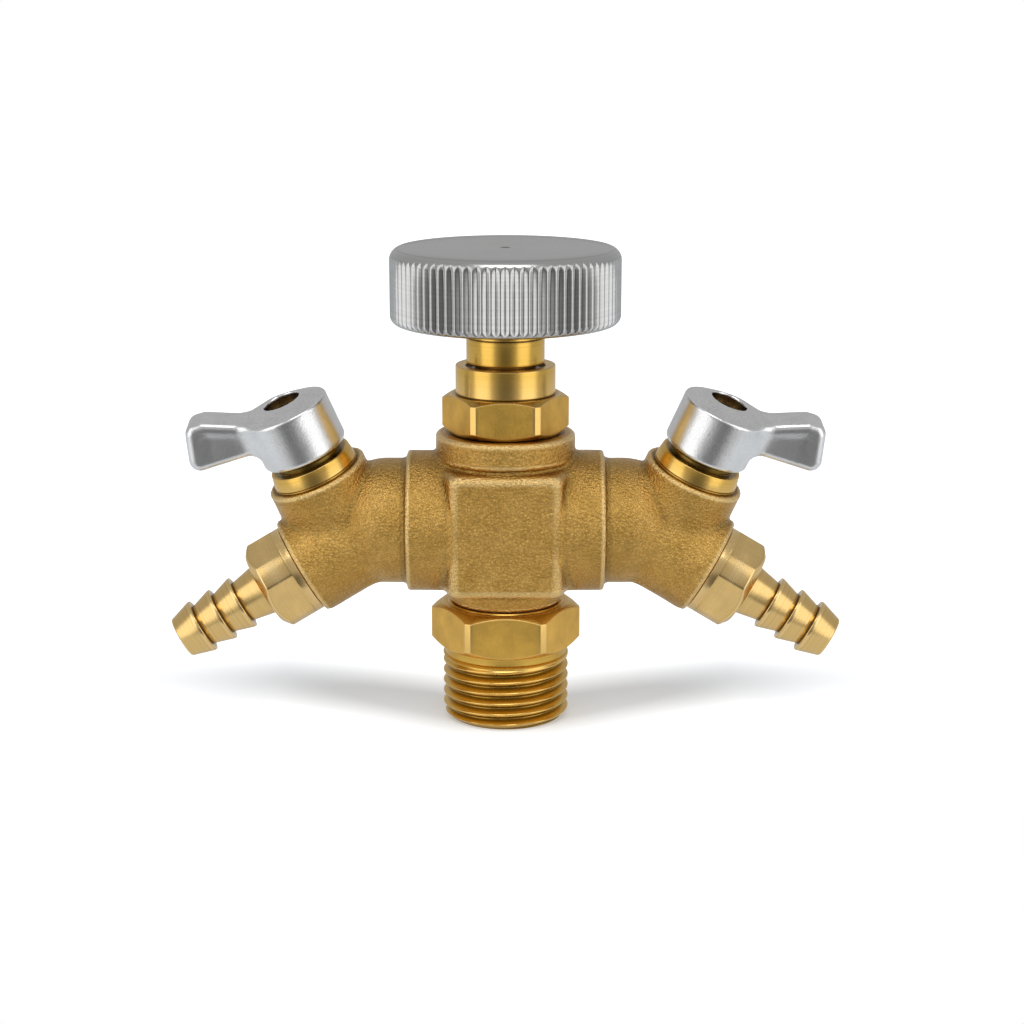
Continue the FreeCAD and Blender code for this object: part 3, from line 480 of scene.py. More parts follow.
# %% Drawing the net
def drawn_skin(field, low, high, cell):
    """Points and faces of the zero surface of a distance inside a box, all in millimetres. An edge
    of a cube between the values a and b is crossed at a / (a - b) of its length."""
    ticks = [np.arange(a, b + cell, cell) for a, b in zip(low, high)]
    shape = tuple(len(t) for t in ticks)
    lattice = np.stack(np.meshgrid(*ticks, indexing="ij"), -1).reshape(-1, 3)
    value = field(lattice).reshape(shape)
    cells = tuple(n - 1 for n in shape)
    total, count = np.zeros((*cells, 3)), np.zeros(cells)
    for axis, step_1, step_2 in itertools.product(range(3), (0, 1), (0, 1)):
        near = np.roll([0, step_1, step_2], axis)
        a, b = (value[tuple(slice(o, o + n) for o, n in zip(corner, cells))]
                for corner in (near, near + np.eye(3, dtype=int)[axis]))
        crossed = (a < 0) != (b < 0)
        total += crossed[..., None] * near.astype(float)
        total[..., axis] += np.where(crossed, a / np.where(crossed, a - b, 1.0), 0.0)
        count += crossed
    used = count > 0
    number = np.full(cells, -1)
    number[used] = np.arange(used.sum())
    corner = np.stack(np.nonzero(used), -1)
    points = np.array(low) + (corner + total[used] / count[used][:, None]) * cell
    faces = []
    for axis in range(3):
        one, two = (axis + 1) % 3, (axis + 2) % 3
        start, end = [slice(1, -1)] * 3, [slice(1, -1)] * 3
        start[axis], end[axis] = slice(0, -1), slice(1, None)
        a, b = value[tuple(start)], value[tuple(end)]
        spot = np.stack(np.nonzero((a < 0) != (b < 0)), -1)
        leaving = a[tuple(spot.T)] < 0
        spot[:, [one, two]] += 1
        ring = []
        for back in ((1, 1), (0, 1), (0, 0), (1, 0)):
            cube = spot.copy()
            cube[:, [one, two]] -= back
            ring.append(number[tuple(cube.T)])
        quad = np.stack(ring, -1)
        quad[~leaving] = quad[~leaving][:, ::-1]
        faces.append(quad)
    quads = np.concatenate(faces)
    return settled(points, quads, field, cell), quads


def ball_distance(points):
    """For a try: a ball of 2 mm radius."""
    return np.linalg.norm(points, axis=1) - 2.0


ball = drawn_skin(ball_distance, (-3.0, -3.0, -3.0), (3.0, 3.0, 3.0), 0.5)
print("a ball holds", round(abs(enclosed_volume(*ball)), 2), "of", round(math.pi * 32.0 / 3.0, 2),
      "mm3 in", len(ball[1]), "faces")


# %% [markdown]
# The forms of the casting, in millimetres. Heights are above the end of the inlet thread. The
# block's plan is a flat hexagon: its front and back faces are narrower than its waist, where it
# runs into the round collars of the arms. Most of the other forms are round bars, so a table is
# enough for them: where the axis starts, its direction, from and to along it, and the radius. Left
# and right are alike, so every point is first folded to the right.

# %% Forms and passages
UP = np.array([0.0, 0.0, 1.0])
ACROSS = np.array([1.0, 0.0, 0.0])
CENTRE = np.zeros(3)
ARM_START = ARM_HEIGHT * UP
STEM_START = AXES["stem"]["start"] * ACROSS + ARM_START
STEM_WAY = axis_turn("stem", 1)[:, 2]
OUTLET_START = AXES["outlet"]["start"] * ACROSS + ARM_START
OUTLET_WAY = axis_turn("outlet", 1)[:, 2]

BLOCK_FRONT, BLOCK_WAIST = 12.0, 12.8
FLANK_WAY = (0.950, 0.313)
BLOCK_MIDDLE, BLOCK_HALF_HEIGHT = 33.2, 10.2
ARM_RADIUS, ARM_END = 10.34, 19.5

# The last number is the rounding of the rims. The cup closes the casting over the plug's foot.
FORMS = {
    "collar": (ARM_START, ACROSS, -20.0, 16.2, 11.66, 0.5),
    "boss": (STEM_START, STEM_WAY, -3.8, 9.25, 8.4, 0.4),
    "cup": (STEM_START, STEM_WAY, -10.4, -3.0, 6.9, 1.2),
    "barrel": (OUTLET_START, OUTLET_WAY, 0.0, 15.2, 8.5, 0.45),
    "foot_ring": (CENTRE, UP, 20.15, 30.0, 9.33, 0.4),
    "neck": (CENTRE, UP, 40.0, 46.0, 10.6, 0.4),
    "top_collar": (CENTRE, UP, 44.15, 48.55, 11.47, 0.65),
}
# Each passage is a little wider than what goes in.
PASSAGES = {
    "inlet thread": (CENTRE, UP, 10.0, 26.6, 7.15),
    "seat": (CENTRE, UP, 20.0, 30.0, 3.8),
    "chamber": (CENTRE, UP, 28.33, 45.0, 7.1),
    "bonnet thread": (CENTRE, UP, 39.8, 60.0, 8.15),
    "arm bore": (ARM_START, ACROSS, 0.0, 27.0, 3.25),
    "plug housing": (STEM_START, STEM_WAY, -9.55, 6.0, 5.9),
    "gland thread": (STEM_START, STEM_WAY, 5.1, 20.0, 6.75),
    "outlet bore": (OUTLET_START, OUTLET_WAY, 6.9, 30.0, 3.25),
    "tail thread": (OUTLET_START, OUTLET_WAY, 12.7, 30.0, 6.15),
}
print("bars of the casting:", list(FORMS), "and its passages:", list(PASSAGES))


# %% Distance of the casting
def folded_right(points):
    folded = points.copy()
    folded[:, 0] = np.abs(folded[:, 0])
    return folded


def block_distance(points):
    """The greatest of the distances to the block's faces, melted together so that its edges are
    round."""
    across, depth = points[:, 0], np.abs(points[:, 1])
    flank = (across - BLOCK_WAIST) * FLANK_WAY[0] + depth * FLANK_WAY[1]
    ends = np.abs(points[:, 2] - BLOCK_MIDDLE) - BLOCK_HALF_HEIGHT
    return smooth_max(smooth_max(depth - BLOCK_FRONT, flank, 1.2), ends, 1.5)


def arm_distance(points):
    """A round bar that ends in a ball: the distance to its axis or to its end, less the radius."""
    past_end = np.maximum(points[:, 0] - ARM_END, 0.0)
    from_axis = np.hypot(points[:, 1], points[:, 2] - ARM_HEIGHT)
    return np.hypot(past_end, from_axis) - ARM_RADIUS


def outer_distance(points):
    """The casting without its passages: its forms melted together, one after another."""
    folded = folded_right(points)
    form = {name: bar_distance(folded, *bar) for name, bar in FORMS.items()}
    elbow = smooth_min(arm_distance(folded), form["boss"], 0.6)
    elbow = smooth_min(elbow, form["barrel"], 0.7)
    elbow = smooth_min(elbow, form["cup"], 0.9)
    branch = smooth_min(form["collar"], elbow, 1.0)
    centre = smooth_min(block_distance(folded), branch, 0.9)
    upper = smooth_min(form["neck"], form["top_collar"], 0.6)
    return smooth_min(smooth_min(centre, upper, 0.9), form["foot_ring"], 0.6)


def passage_distance(points):
    """The stop valve's chamber and seat, the arms' bores, the plug housings and the threads."""
    folded = folded_right(points)
    return np.minimum.reduce([bar_distance(folded, *bar) for bar in PASSAGES.values()])


def casting_distance(points):
    return smooth_max(outer_distance(points), -passage_distance(points), 0.25)


probes = np.array([(0.0, 0.0, 35.0), (10.0, 0.0, ARM_HEIGHT + 7.0)])
print("distance in the chamber and in the metal:", np.round(casting_distance(probes), 2))

# %% [markdown]
# Sand leaves the skin slightly uneven, and cleaning wears the edges. The unevenness is a smooth
# random height, made on a lattice and blended between its knots, and it moves the points by a few
# hundredths of a millimetre. How strongly the surface curves gives the edges, lighter from that
# wear and a painted highlight, and the hollows, darkened with painted shade.

# %% Unevenness and wear
KNOTS = 64


def lattice_noise(points, size, seed):
    """Random knot heights from -1 to 1, a size apart, blended with 3t^2 - 2t^3 each way."""
    knots = np.random.default_rng(seed).uniform(-1.0, 1.0, (KNOTS, KNOTS, KNOTS))
    scaled = points / size + 0.5 * KNOTS
    base = np.floor(scaled).astype(int)
    share = eased(scaled - base)
    height = np.zeros(len(points))
    for corner in range(8):
        bits = np.array([corner & 1, corner >> 1 & 1, corner >> 2 & 1])
        weight = np.prod(np.where(bits, share, 1.0 - share), axis=1)
        height += weight * knots[tuple(((base + bits) % KNOTS).T)]
    return height


def curvature(field, points, step):
    """The sum of second differences of the distance: above zero on edges, below zero in hollows."""
    total = -6.0 * field(points)
    for shift in step * np.eye(3):
        total += field(points + shift) + field(points - shift)
    return total / step ** 2


# %% The casting
CASTING_LOW, CASTING_HIGH = (-39.9, -12.7, 19.5), (39.9, 12.9, 49.3)
FOOT_TURNED, TOP_TURNED = 20.3, 48.45
GLAND_SHADE_RADIUS, GLAND_SHADE_UP = 7.75, 8.9
BONNET_SHADE_RADIUS, BONNET_SHADE_UP = 9.75, 48.3


def make_casting():
    """The skin with its wear, painted highlight and painted shade, then moved outwards by the
    unevenness, but not where it is turned.
    """
    cell = 0.385
    points, quads = drawn_skin(casting_distance, CASTING_LOW, CASTING_HIGH, cell)
    outside = outer_distance(points) > -0.15
    turned = (points[:, 2] < FOOT_TURNED) | (points[:, 2] > TOP_TURNED)
    bend = curvature(outer_distance, points, 0.4)
    # Edge value: above zero on edges, lighter from wear and a painted highlight; below zero in
    # hollows, painted shade.
    wear_light_and_shade = np.clip(np.where(bend > 0.0, bend - 0.08, 0.5 * bend - 0.04), -0.45, 1.0)
    # Painted shade on the casting round the gland rings and under the bonnet, in the gaps between
    # the parts.
    up_stem, from_stem = along_and_away(folded_right(points), STEM_START, STEM_WAY)
    gap_shade = (from_stem < GLAND_SHADE_RADIUS) & (up_stem > GLAND_SHADE_UP)
    from_centre = np.hypot(points[:, 0], points[:, 1])
    gap_shade |= (from_centre < BONNET_SHADE_RADIUS) & (points[:, 2] > BONNET_SHADE_UP)
    wear_light_and_shade = np.where(gap_shade, -0.85, wear_light_and_shade)
    uneven = lattice_noise(points, 1.1, 3) * 0.025 + lattice_noise(points, 3.7, 5) * 0.03
    uneven *= 1.0 - 0.8 * np.abs(wear_light_and_shade)
    away = slope(outer_distance, points)
    away /= np.maximum(np.linalg.norm(away, axis=1, keepdims=True), 1e-6)
    points = points + away * np.where(outside & ~turned, uneven, 0.0)[:, None]
    add_piece("valve_casting", points, quads, "body", ["valve_body"], CAST_BRASS,
              sharp=60.0, values={"edge": np.where(outside, wear_light_and_shade, 0.0)})


make_casting()

# %% [markdown]
# ## Turned pieces
# Nuts, collars and tails come off a lathe: a profile is spun round an axis. Each profile is a
# short list of radius, height and how much that corner is rounded. A real edge is never sharp, and
# its tiny rounding is what catches the light. Where a spanner grips, the radius is no longer the
# same all round, so the profile is worked out for every direction at once.

# %% Rounded profiles
MOST_OF_A_SIDE = 0.48


def rounded_profile(corners, columns, steps=3):
    """Rows of radius, height, edge value and milled value. Each corner (radius, height, rounding,
    milled, edge) becomes a short curve: (1-t)^2 before + 2t(1-t) corner + t^2 after, t from 0 to 1.
    The edge value is 1 on an outer corner, for wear and a painted highlight, and -1 in an inner
    one, for painted shade, unless it is given."""
    radii = np.stack([np.broadcast_to(np.asarray(c[0], float), columns) for c in corners])
    heights = np.stack([np.broadcast_to(np.asarray(c[1], float), columns) for c in corners])
    spots = np.stack([radii, heights], -1)
    before, after = np.roll(spots, 1, 0) - spots, np.roll(spots, -1, 0) - spots
    rows, edges, milled = [], [], []
    for k, corner in enumerate(corners):
        size, flat, given = (*corner[2:], *(0.0, 0.0, None)[len(corner) - 2:])
        if size == 0.0:
            rows.append(spots[k])
            edges.append(given or 0.0)
            milled.append(flat)
            continue
        lengths = [np.linalg.norm(way[k], axis=-1, keepdims=True) for way in (before, after)]
        pulls = [np.minimum(size, MOST_OF_A_SIDE * length) / np.maximum(length, 1e-9)
                 for length in lengths]
        first, last = spots[k] + before[k] * pulls[0], spots[k] + after[k] * pulls[1]
        turn = np.cross(before[k], after[k]).mean()
        for t in np.linspace(0.0, 1.0, steps + 1):
            rows.append((1 - t) ** 2 * first + 2 * t * (1 - t) * spots[k] + t ** 2 * last)
            edge_wear_and_light = 0.0 if t in (0.0, 1.0) else math.copysign(1.0, -turn)
            edges.append(edge_wear_and_light if given is None else given)
            milled.append(flat)
    return np.stack(rows), np.array(edges), np.array(milled)


def spun(corners, angles, steps=3):
    """Spins a profile: x = radius cos angle, y = radius sin angle. Also gives the length along the
    profile, which the lathe rings follow. On milled rows the strips between flats, which lie at the
    largest radius, count as edges, lighter from wear and a painted highlight."""
    rows, edges, milled = rounded_profile(corners, len(angles), steps)
    radius, height = rows[..., 0], rows[..., 1]
    points = np.stack([radius * np.cos(angles), radius * np.sin(angles), height], -1)
    middle = rows.mean(1)
    along = np.concatenate([[0.0], np.cumsum(np.linalg.norm(np.diff(middle, axis=0), axis=1))])
    spread_out = np.ones(len(angles))
    strip = (radius > radius.max(1, keepdims=True) - 1e-6) & (np.ptp(radius, axis=1)[:, None] > 0.1)
    edge_wear_and_light = np.where(strip & (milled[:, None] > 0.0), 0.8, np.outer(edges, spread_out))
    values = {"along": np.outer(along, spread_out), "edge": edge_wear_and_light,
              "milled": np.outer(milled, spread_out) * np.where(strip, 0.4, 1.0)}
    return points.reshape(-1, 3), grid_quads(len(rows), len(angles)), values


# %% Directions round a piece
def round_angles(count):
    return np.linspace(0.0, 2.0 * math.pi, count, endpoint=False)


def flatted_angles(count, across, corner_radius, first=0.0, per_flat=20, per_corner=6):
    """Directions round a bar with flats, and its radius in each: across/2 over the cosine from the
    middle of a flat, and between flats the outside radius, a narrow strip that stays of the bar."""
    step = 2.0 * math.pi / count
    gap = 0.5 * step - math.acos(0.5 * across / corner_radius)
    flat_angles = np.linspace(gap, step - gap, per_flat + 2)[1:-1]
    one = np.concatenate([np.linspace(-gap, gap, per_corner), flat_angles])
    radii = np.concatenate([np.full(per_corner, corner_radius),
                            0.5 * across / np.cos(flat_angles - 0.5 * step)])
    return (first + step * np.arange(count)[:, None] + one).ravel(), np.tile(radii, count)


def bevel_height(radii, face_radius, corner_radius, height):
    """How far up the cone of the bevel meets each direction's radius."""
    return height * (radii - face_radius) / (corner_radius - face_radius)


print("columns round a hexagon:", len(flatted_angles(6, 22.0, 12.4)[0]))

# %% [markdown]
# ## Inlet nipple
# A drawn hexagon bar, threaded at its foot. The thread is a pipe thread of half an inch, with
# fourteen turns to the inch: one long spiral ridge with rounded crests, which fades into the
# relief under the hexagon. The ridge is worked out from the height and the direction together, so
# the crest climbs by one pitch in each turn. A small lip on the hexagon stands round the seal.

# %% The thread
PITCH = 1.814
MAJOR_RADIUS, THREAD_DEPTH = 10.4775, 1.162
FLANK_SLOPE, HALF_CREST = 1.742, 0.29
CREST_AT, THREAD_END, RUN_OUT = 4.72, 11.0, 0.9
CONE_RADIUS, CONE_SLOPE = 9.15, 1.05


def thread_radius(angles, heights):
    """Major radius less the depth of a clipped triangle wave of (height - pitch * turn), faded out
    at the top and cut by the lead-in cone at the bottom."""
    turn = (angles + 0.5 * math.pi) / (2.0 * math.pi)
    phase = (heights[:, None] - CREST_AT) / PITCH - turn[None, :]
    wave = np.abs(2.0 * (phase - np.floor(phase + 0.5)))
    groove = smooth_min(wave * FLANK_SLOPE - HALF_CREST, np.full_like(wave, THREAD_DEPTH), 0.3)
    groove = smooth_max(groove, np.zeros_like(wave), 0.3)
    fade = np.clip((THREAD_END - heights) / RUN_OUT, 0.0, 1.0)[:, None]
    cone = np.broadcast_to(CONE_RADIUS + CONE_SLOPE * heights[:, None], groove.shape)
    return smooth_min(MAJOR_RADIUS - groove * fade, cone, 0.15)


turns = thread_radius(np.zeros(1), np.linspace(3.0, 3.0 + PITCH, 50))
print("thread between radii", round(turns.min(), 2), "and", round(turns.max(), 2), "mm")


# %% The nipple
def make_nipple():
    face, corner, bevel = 10.55, 12.4, 1.2
    angles, radii = flatted_angles(6, 22.0, corner)
    rise = bevel_height(radii, face, corner, bevel)
    foot, top, spigot, bore = 12.45, 19.8, 26.5, 4.8
    heights = np.linspace(0.16, THREAD_END, 170)
    corners = [
        (7.4, 0.0, 0.25),
        (9.0, 0.0, 0.1),
        *zip(thread_radius(angles, heights), heights),
        (10.13, 11.25, 0.0),
        (10.13, foot, 0.12),
        (face, foot, 0.15),
        (radii, foot + rise, 0.16, 1.0),
        (radii, 0.5 * (foot + top), 0.0, 1.0),
        (radii, top - rise, 0.16, 1.0),
        (face, top, 0.15),
        (9.75, top, 0.05),
        (9.6, top + 0.24, 0.04),
        (8.95, top + 0.24, 0.04),
        (8.95, top, 0.04),
        (7.0, top, 0.1),
        (7.0, spigot, 0.2),
        (bore, spigot, 0.2),
        (bore, 17.5, 0.2),
        (7.4, 17.5, 0.2),
    ]
    points, quads, values = spun(corners, angles, steps=5)
    radius = np.hypot(points[:, 0], points[:, 1])
    on_thread = (points[:, 2] > 0.1) & (points[:, 2] < THREAD_END) & (radius > 9.0)
    # On the thread the crests are lighter, as wear and a painted highlight, and the valleys get
    # painted shade.
    valley = np.clip((10.35 - radius) / 0.8, 0.0, 1.0)
    values["edge"] = np.where(on_thread, 0.5 - 1.2 * valley, values["edge"].ravel())
    add_piece("inlet_nipple_threaded", points, quads, "body", ["inlet_nipple"],
              TURNED_BRASS, sharp=24.0, values=values)


make_nipple()

# %% [markdown]
# ## Bonnet and spindle neck
# The bonnet screws into the top collar and carries the spindle. Its hexagon is drawn bar, and the
# round collar above it is turned bright. The neck under the hand wheel turns with the spindle. A
# low lip under the hexagon covers the edge of the seal, so that only a thin dark line shows.

# %% The bonnet
BONNET_FACE, SEAL_FACE = 48.95, 48.55


def make_bonnet():
    face, corner, bevel = 9.0675, 10.4, 0.75
    angles, radii = flatted_angles(6, 18.5, corner)
    rise = bevel_height(radii, face, corner, bevel)
    foot, top, collar_top, lip = BONNET_FACE, 55.0, 59.75, 0.28
    corners = [
        (6.05, 40.35, 0.1),
        (8.0, 40.35, 0.3),
        (8.0, foot, 0.1),
        (8.72, foot, 0.04),
        (8.72, foot - lip, 0.04),
        (9.12, foot - lip, 0.07, 0.0, 1.0),
        (radii, foot + rise, 0.14, 1.0),
        (radii, 0.5 * (foot + top), 0.0, 1.0),
        (radii, top - rise, 0.14, 1.0),
        (face, top, 0.12),
        # The groove over the hexagon and the inside of the collar get painted shade.
        (8.1, top, 0.03, 0.0, -1.0),
        (8.1, top + 0.14, 0.03, 0.0, -1.0),
        (8.19, top + 0.2, 0.05, 0.0, 1.0),
        (8.19, collar_top, 0.22),
        (6.75, collar_top, 0.12),
        (6.5, collar_top - 0.25, 0.05, 0.0, -0.9),
        (6.45, collar_top - 0.7, 0.1, 0.0, -1.0),
        (5.05, collar_top - 0.7, 0.1, 0.0, -1.0),
        (5.05, 54.3, 0.1),
        (6.05, 54.3, 0.1),
    ]
    points, quads, values = spun(corners, angles, steps=5)
    add_piece("bonnet_turned", points, quads, "body", ["bonnet"], TURNED_BRASS,
              sharp=24.0, values=values)


# %% Its seal, and the neck
def make_neck():
    """The neck has a fine groove under a band that lies in the wheel's shade."""
    corners = [
        (5.03, 60.13, 0.1),
        (6.4, 60.13, 0.2),
        (6.4, 64.16, 0.08),
        # The groove and the band under the wheel are darkened with painted shade.
        (6.22, 64.2, 0.03, 0.0, -1.0),
        (6.22, 64.34, 0.03, 0.0, -1.0),
        (6.36, 64.4, 0.05, 0.0, 0.2),
        (6.36, 64.9, 0.05, 0.0, -0.4),
        (6.3, 66.0, 0.04, 0.0, -0.8),
        (6.3, 66.53, 0.04, 0.0, -1.0),
        (5.03, 66.53, 0.08),
    ]
    points, quads, values = spun(corners, round_angles(144))
    add_piece("spindle_neck", points, quads, "hand_wheel", ["spindle_collar"],
              TURNED_BRASS, values=values)


def make_bonnet_seal():
    inside, outside = 8.05, 8.67
    corners = [(inside, SEAL_FACE, 0.03), (outside, SEAL_FACE, 0.05),
               (outside, BONNET_FACE, 0.05), (inside, BONNET_FACE, 0.03)]
    points, quads, values = spun(corners, round_angles(120))
    add_piece("bonnet_seal", points, quads, "body", ["bonnet_gasket"], RED_FIBRE,
              values=values)


make_bonnet()
make_bonnet_seal()
make_neck()

# %% [markdown]
# ## Hand wheel
# The wheel is a silver disc with eighty V-shaped flutes rolled into its side. A flute lies at one
# depth below the blank's side, a little less near the top. So where the rims curve inwards it runs
# out in a point. That happens by itself if the radius is the smaller of two: the rounded blank's,
# and the fluted cylinder's.

# %% Flutes
FLUTES = 80
FLUTE_PITCH = 2.0 * math.pi / FLUTES
FLUTE_DEPTH, FLUTE_HALF_WIDTH, LAND_ROUNDING = 0.46, 0.64, 0.14
WHEEL_RADIUS = 18.78
WHEEL_FOOT, WHEEL_TOP = 66.53, 78.78


def flute_columns(shares):
    """Directions of the columns: the same places in every flute's pitch."""
    return (np.arange(FLUTES)[:, None] * FLUTE_PITCH + np.array(shares) * FLUTE_PITCH).ravel()


def flute_cut(angles):
    """Depth of the V: full in its middle, falling in a straight line to nothing at the land, whose
    edges are well rounded."""
    away = np.abs((angles / FLUTE_PITCH + 0.5) % 1.0 - 0.5) * FLUTE_PITCH * WHEEL_RADIUS
    depth = FLUTE_DEPTH * (1.0 - away / FLUTE_HALF_WIDTH)
    return smooth_max(depth, np.zeros_like(depth), LAND_ROUNDING)


print("a flute is", round(float(flute_cut(np.zeros(1))[0]), 2), "mm deep at a pitch of",
      round(FLUTE_PITCH * WHEEL_RADIUS, 2), "mm")


# %% The wheel
def make_hand_wheel():
    """Both rims are quarters of ellipses, the upper one cut short where the flat top begins."""
    angles = flute_columns([0.0, 0.09, 0.20, 0.31, 0.385, 0.43, 0.5, 0.57, 0.615, 0.69, 0.80, 0.91])
    rim, rim_low, rim_high = 1.35, 1.5, 1.9
    bend = np.linspace(0.0, 0.5 * math.pi, 13)
    top_bend = 0.78 * bend
    side_heights = np.linspace(WHEEL_FOOT + rim_low, WHEEL_TOP - rim_high, 6)[1:-1]
    low = [(WHEEL_RADIUS - rim + rim * math.sin(b), WHEEL_FOOT + rim_low * (1.0 - math.cos(b)))
           for b in bend]
    side = [(WHEEL_RADIUS, height) for height in side_heights]
    high = [(WHEEL_RADIUS - 1.5 * rim * (1.0 - math.cos(b)),
             WHEEL_TOP - rim_high * (1.0 - math.sin(b) / math.sin(top_bend[-1]))) for b in top_bend]
    cut = flute_cut(angles)
    rows = []
    for radius, height in low + side + high:
        shallow = 1.0 - 0.4 * eased((height - WHEEL_TOP + 2.6) / 1.5)
        fluted = WHEEL_RADIUS - shallow * cut
        rows.append((smooth_min(np.full_like(fluted, radius), fluted, 0.03), height))
    hole, hole_top = 4.03, 74.18
    corners = [
        (0.0, hole_top, 0.0),
        (hole, hole_top, 0.0),
        (hole, WHEEL_FOOT, 0.1),
        (11.0, WHEEL_FOOT, 0.0),
        *rows,
        (14.0, WHEEL_TOP, 0.0),
        (9.0, WHEEL_TOP - 0.01, 0.0),
        (4.0, WHEEL_TOP - 0.02, 0.0),
        (0.95, WHEEL_TOP - 0.02, 0.0),
        # The centre dimple is darkened with painted shade.
        (0.75, WHEEL_TOP - 0.02, 0.05, 0.0, -0.6),
        (0.6, WHEEL_TOP - 0.2, 0.0, 0.0, -1.0),
        (0.0, WHEEL_TOP - 0.9, 0.0, 0.0, -1.0),
    ]
    points, quads, values = spun(corners, angles)
    # Painted shade in the bottoms of the flutes on the side.
    on_side = np.abs(points[:, 2] - 0.5 * (WHEEL_FOOT + WHEEL_TOP)) < 4.9
    bottom = np.tile(cut > FLUTE_DEPTH - 0.01, len(points) // len(angles))
    values["edge"] = np.where(on_side & bottom, -1.0, values["edge"].ravel())
    add_piece("hand_wheel_fluted", points, quads, "hand_wheel", ["knob"],
              TURNED_SILVER, sharp=50.0, values=values)


make_hand_wheel()

# %% [markdown]
# ## Gland rings and hose tails
# A gland nut holds each plug down: only its slightly conical ring shows, with a fine groove at its
# foot and the dark gap round the plug's neck inside its top. The hose tail screws into the port.
# Its nut is round bar with four flats, its lip stands over the seal, and its three barbs are cones
# with a steep back, so that a hose slides on but not off.

# %% Gland rings
BOSS_TOP, RING_TOP, NECK_TOP = 9.25, 11.95, 12.7


def make_gland_ring(side_name, side):
    # The groove at the foot and the inside of the top, round the plug's neck, get painted shade.
    corners = [
        (4.05, 5.25, 0.1),
        (6.6, 5.25, 0.2),
        (6.6, BOSS_TOP, 0.05),
        (7.22, BOSS_TOP, 0.05),
        (7.22, 9.5, 0.04, 0.0, 0.3),
        (7.05, 9.54, 0.03, 0.0, -0.9),
        (7.05, 9.64, 0.03, 0.0, -0.9),
        (7.24, 9.70, 0.06, 0.0, 0.8),
        (6.82, RING_TOP, 0.14),
        (6.5, RING_TOP, 0.0, 0.0, -0.3),
        (6.2, RING_TOP, 0.0, 0.0, -0.8),
        (5.6, RING_TOP, 0.05, 0.0, -1.0),
        (5.5, 12.05, 0.0, 0.0, -1.0),
        (5.5, NECK_TOP, 0.12, 0.0, -1.0),
        (4.05, NECK_TOP, 0.1, 0.0, -1.0),
    ]
    points, quads, values = spun(corners, round_angles(144))
    add_piece(f"{side_name}_gland_ring", on_axis(points, "stem", side), quads, "body",
              [f"{side_name}_gland_nut"], TURNED_BRASS, values=values)


# %% Hose tails
PORT_FACE, TAIL_SEAT, NUT_END = 15.2, 15.6, 22.5
TAIL_BORE, LIP_RADIUS, LIP = 2.6, 7.05, 0.28
BARBS, FIRST_BARB, BARB_STEP, TAIL_TIP = 3, 26.7, 3.8, 38.4


def make_hose_tail(side_name, side):
    outside, face, bevel = 7.6, 6.2, 1.1
    first = math.radians(45.0 + side * 18.0)
    angles, radii = flatted_angles(4, 13.2, outside, first, per_flat=24, per_corner=16)
    rise = bevel_height(radii, face, outside, bevel)
    # The groove behind each barb gets painted shade.
    barbs = []
    for i in range(BARBS):
        back = FIRST_BARB + i * BARB_STEP
        barbs += [(3.65, back - 0.4, 0.0), (3.55, back, 0.1, 0.0, -1.0), (4.6, back, 0.14),
                  (4.6, back + 0.4, 0.25)]
    corners = [
        (TAIL_BORE, PORT_FACE - 2.4, 0.1),
        (6.0, PORT_FACE - 2.4, 0.2),
        (6.0, TAIL_SEAT, 0.05),
        (LIP_RADIUS, TAIL_SEAT, 0.03),
        (LIP_RADIUS, TAIL_SEAT - LIP, 0.03),
        (outside, TAIL_SEAT - LIP, 0.14, 0.0, 1.0),
        (outside, TAIL_SEAT + 1.1, 0.12),
        (radii, TAIL_SEAT + 1.1, 0.10),
        (radii, 0.5 * (TAIL_SEAT + NUT_END), 0.0, 0.8),
        (radii, NUT_END - rise, 0.22),
        (face, NUT_END, 0.15),
        (4.4, NUT_END, 0.35),
        *barbs,
        (3.45, TAIL_TIP, 0.3),
        (TAIL_BORE, TAIL_TIP, 0.2),
    ]
    points, quads, values = spun(corners, angles)
    add_piece(f"{side_name}_hose_tail", on_axis(points, "outlet", side), quads, "body",
              [f"{side_name}_hose_barb"], TAIL_BRASS, values=values)


for side_name, side in SIDES.items():
    make_gland_ring(side_name, side)
    make_hose_tail(side_name, side)

# %% [markdown]
# ## Wing levers
# Each lever is a satin casting: a round hub with a conical crown, and a wing that flows out of it.
# The wing is a thick plate with both faces sunk a little below its top, so a soft ridge runs along
# the top and round the tip. Like the big casting it is described by distances, on finer cubes,
# because hub and wing melt together with no line between them.

# %% Outline of the wing
WING_OUTLINE = np.array([(0.0, 3.1), (18.5, 4.4), (15.9, 12.4), (13.0, 12.15), (6.0, 8.9),
                         (0.0, 8.9)])
WING_ROUNDING, WING_HALF_WIDTH = 1.9, 3.4
WEB_TOP = np.array([(0.0, 8.0), (6.0, 8.0), (13.4, 11.3)])
WEB_DEPTH = 0.24


def outline_distance(across, up, corners):
    """Distance to a closed outline, negative inside: the least distance to its straight sides, with
    the sign from a count of the sides passed to the right."""
    least, crossings = np.full(across.shape, 1e9), np.zeros(across.shape, int)
    for a, b in zip(corners, np.roll(corners, -1, 0)):
        side = b - a
        right, above = across - a[0], up - a[1]
        share = np.clip((right * side[0] + above * side[1]) / (side @ side), 0.0, 1.0)
        least = np.minimum(least, np.hypot(right - share * side[0], above - share * side[1]))
        spans = (a[1] > up) != (b[1] > up)
        crossings += spans & (right < above * side[0] / (side[1] or 1.0))
    return np.where(crossings % 2 == 1, -least, least)


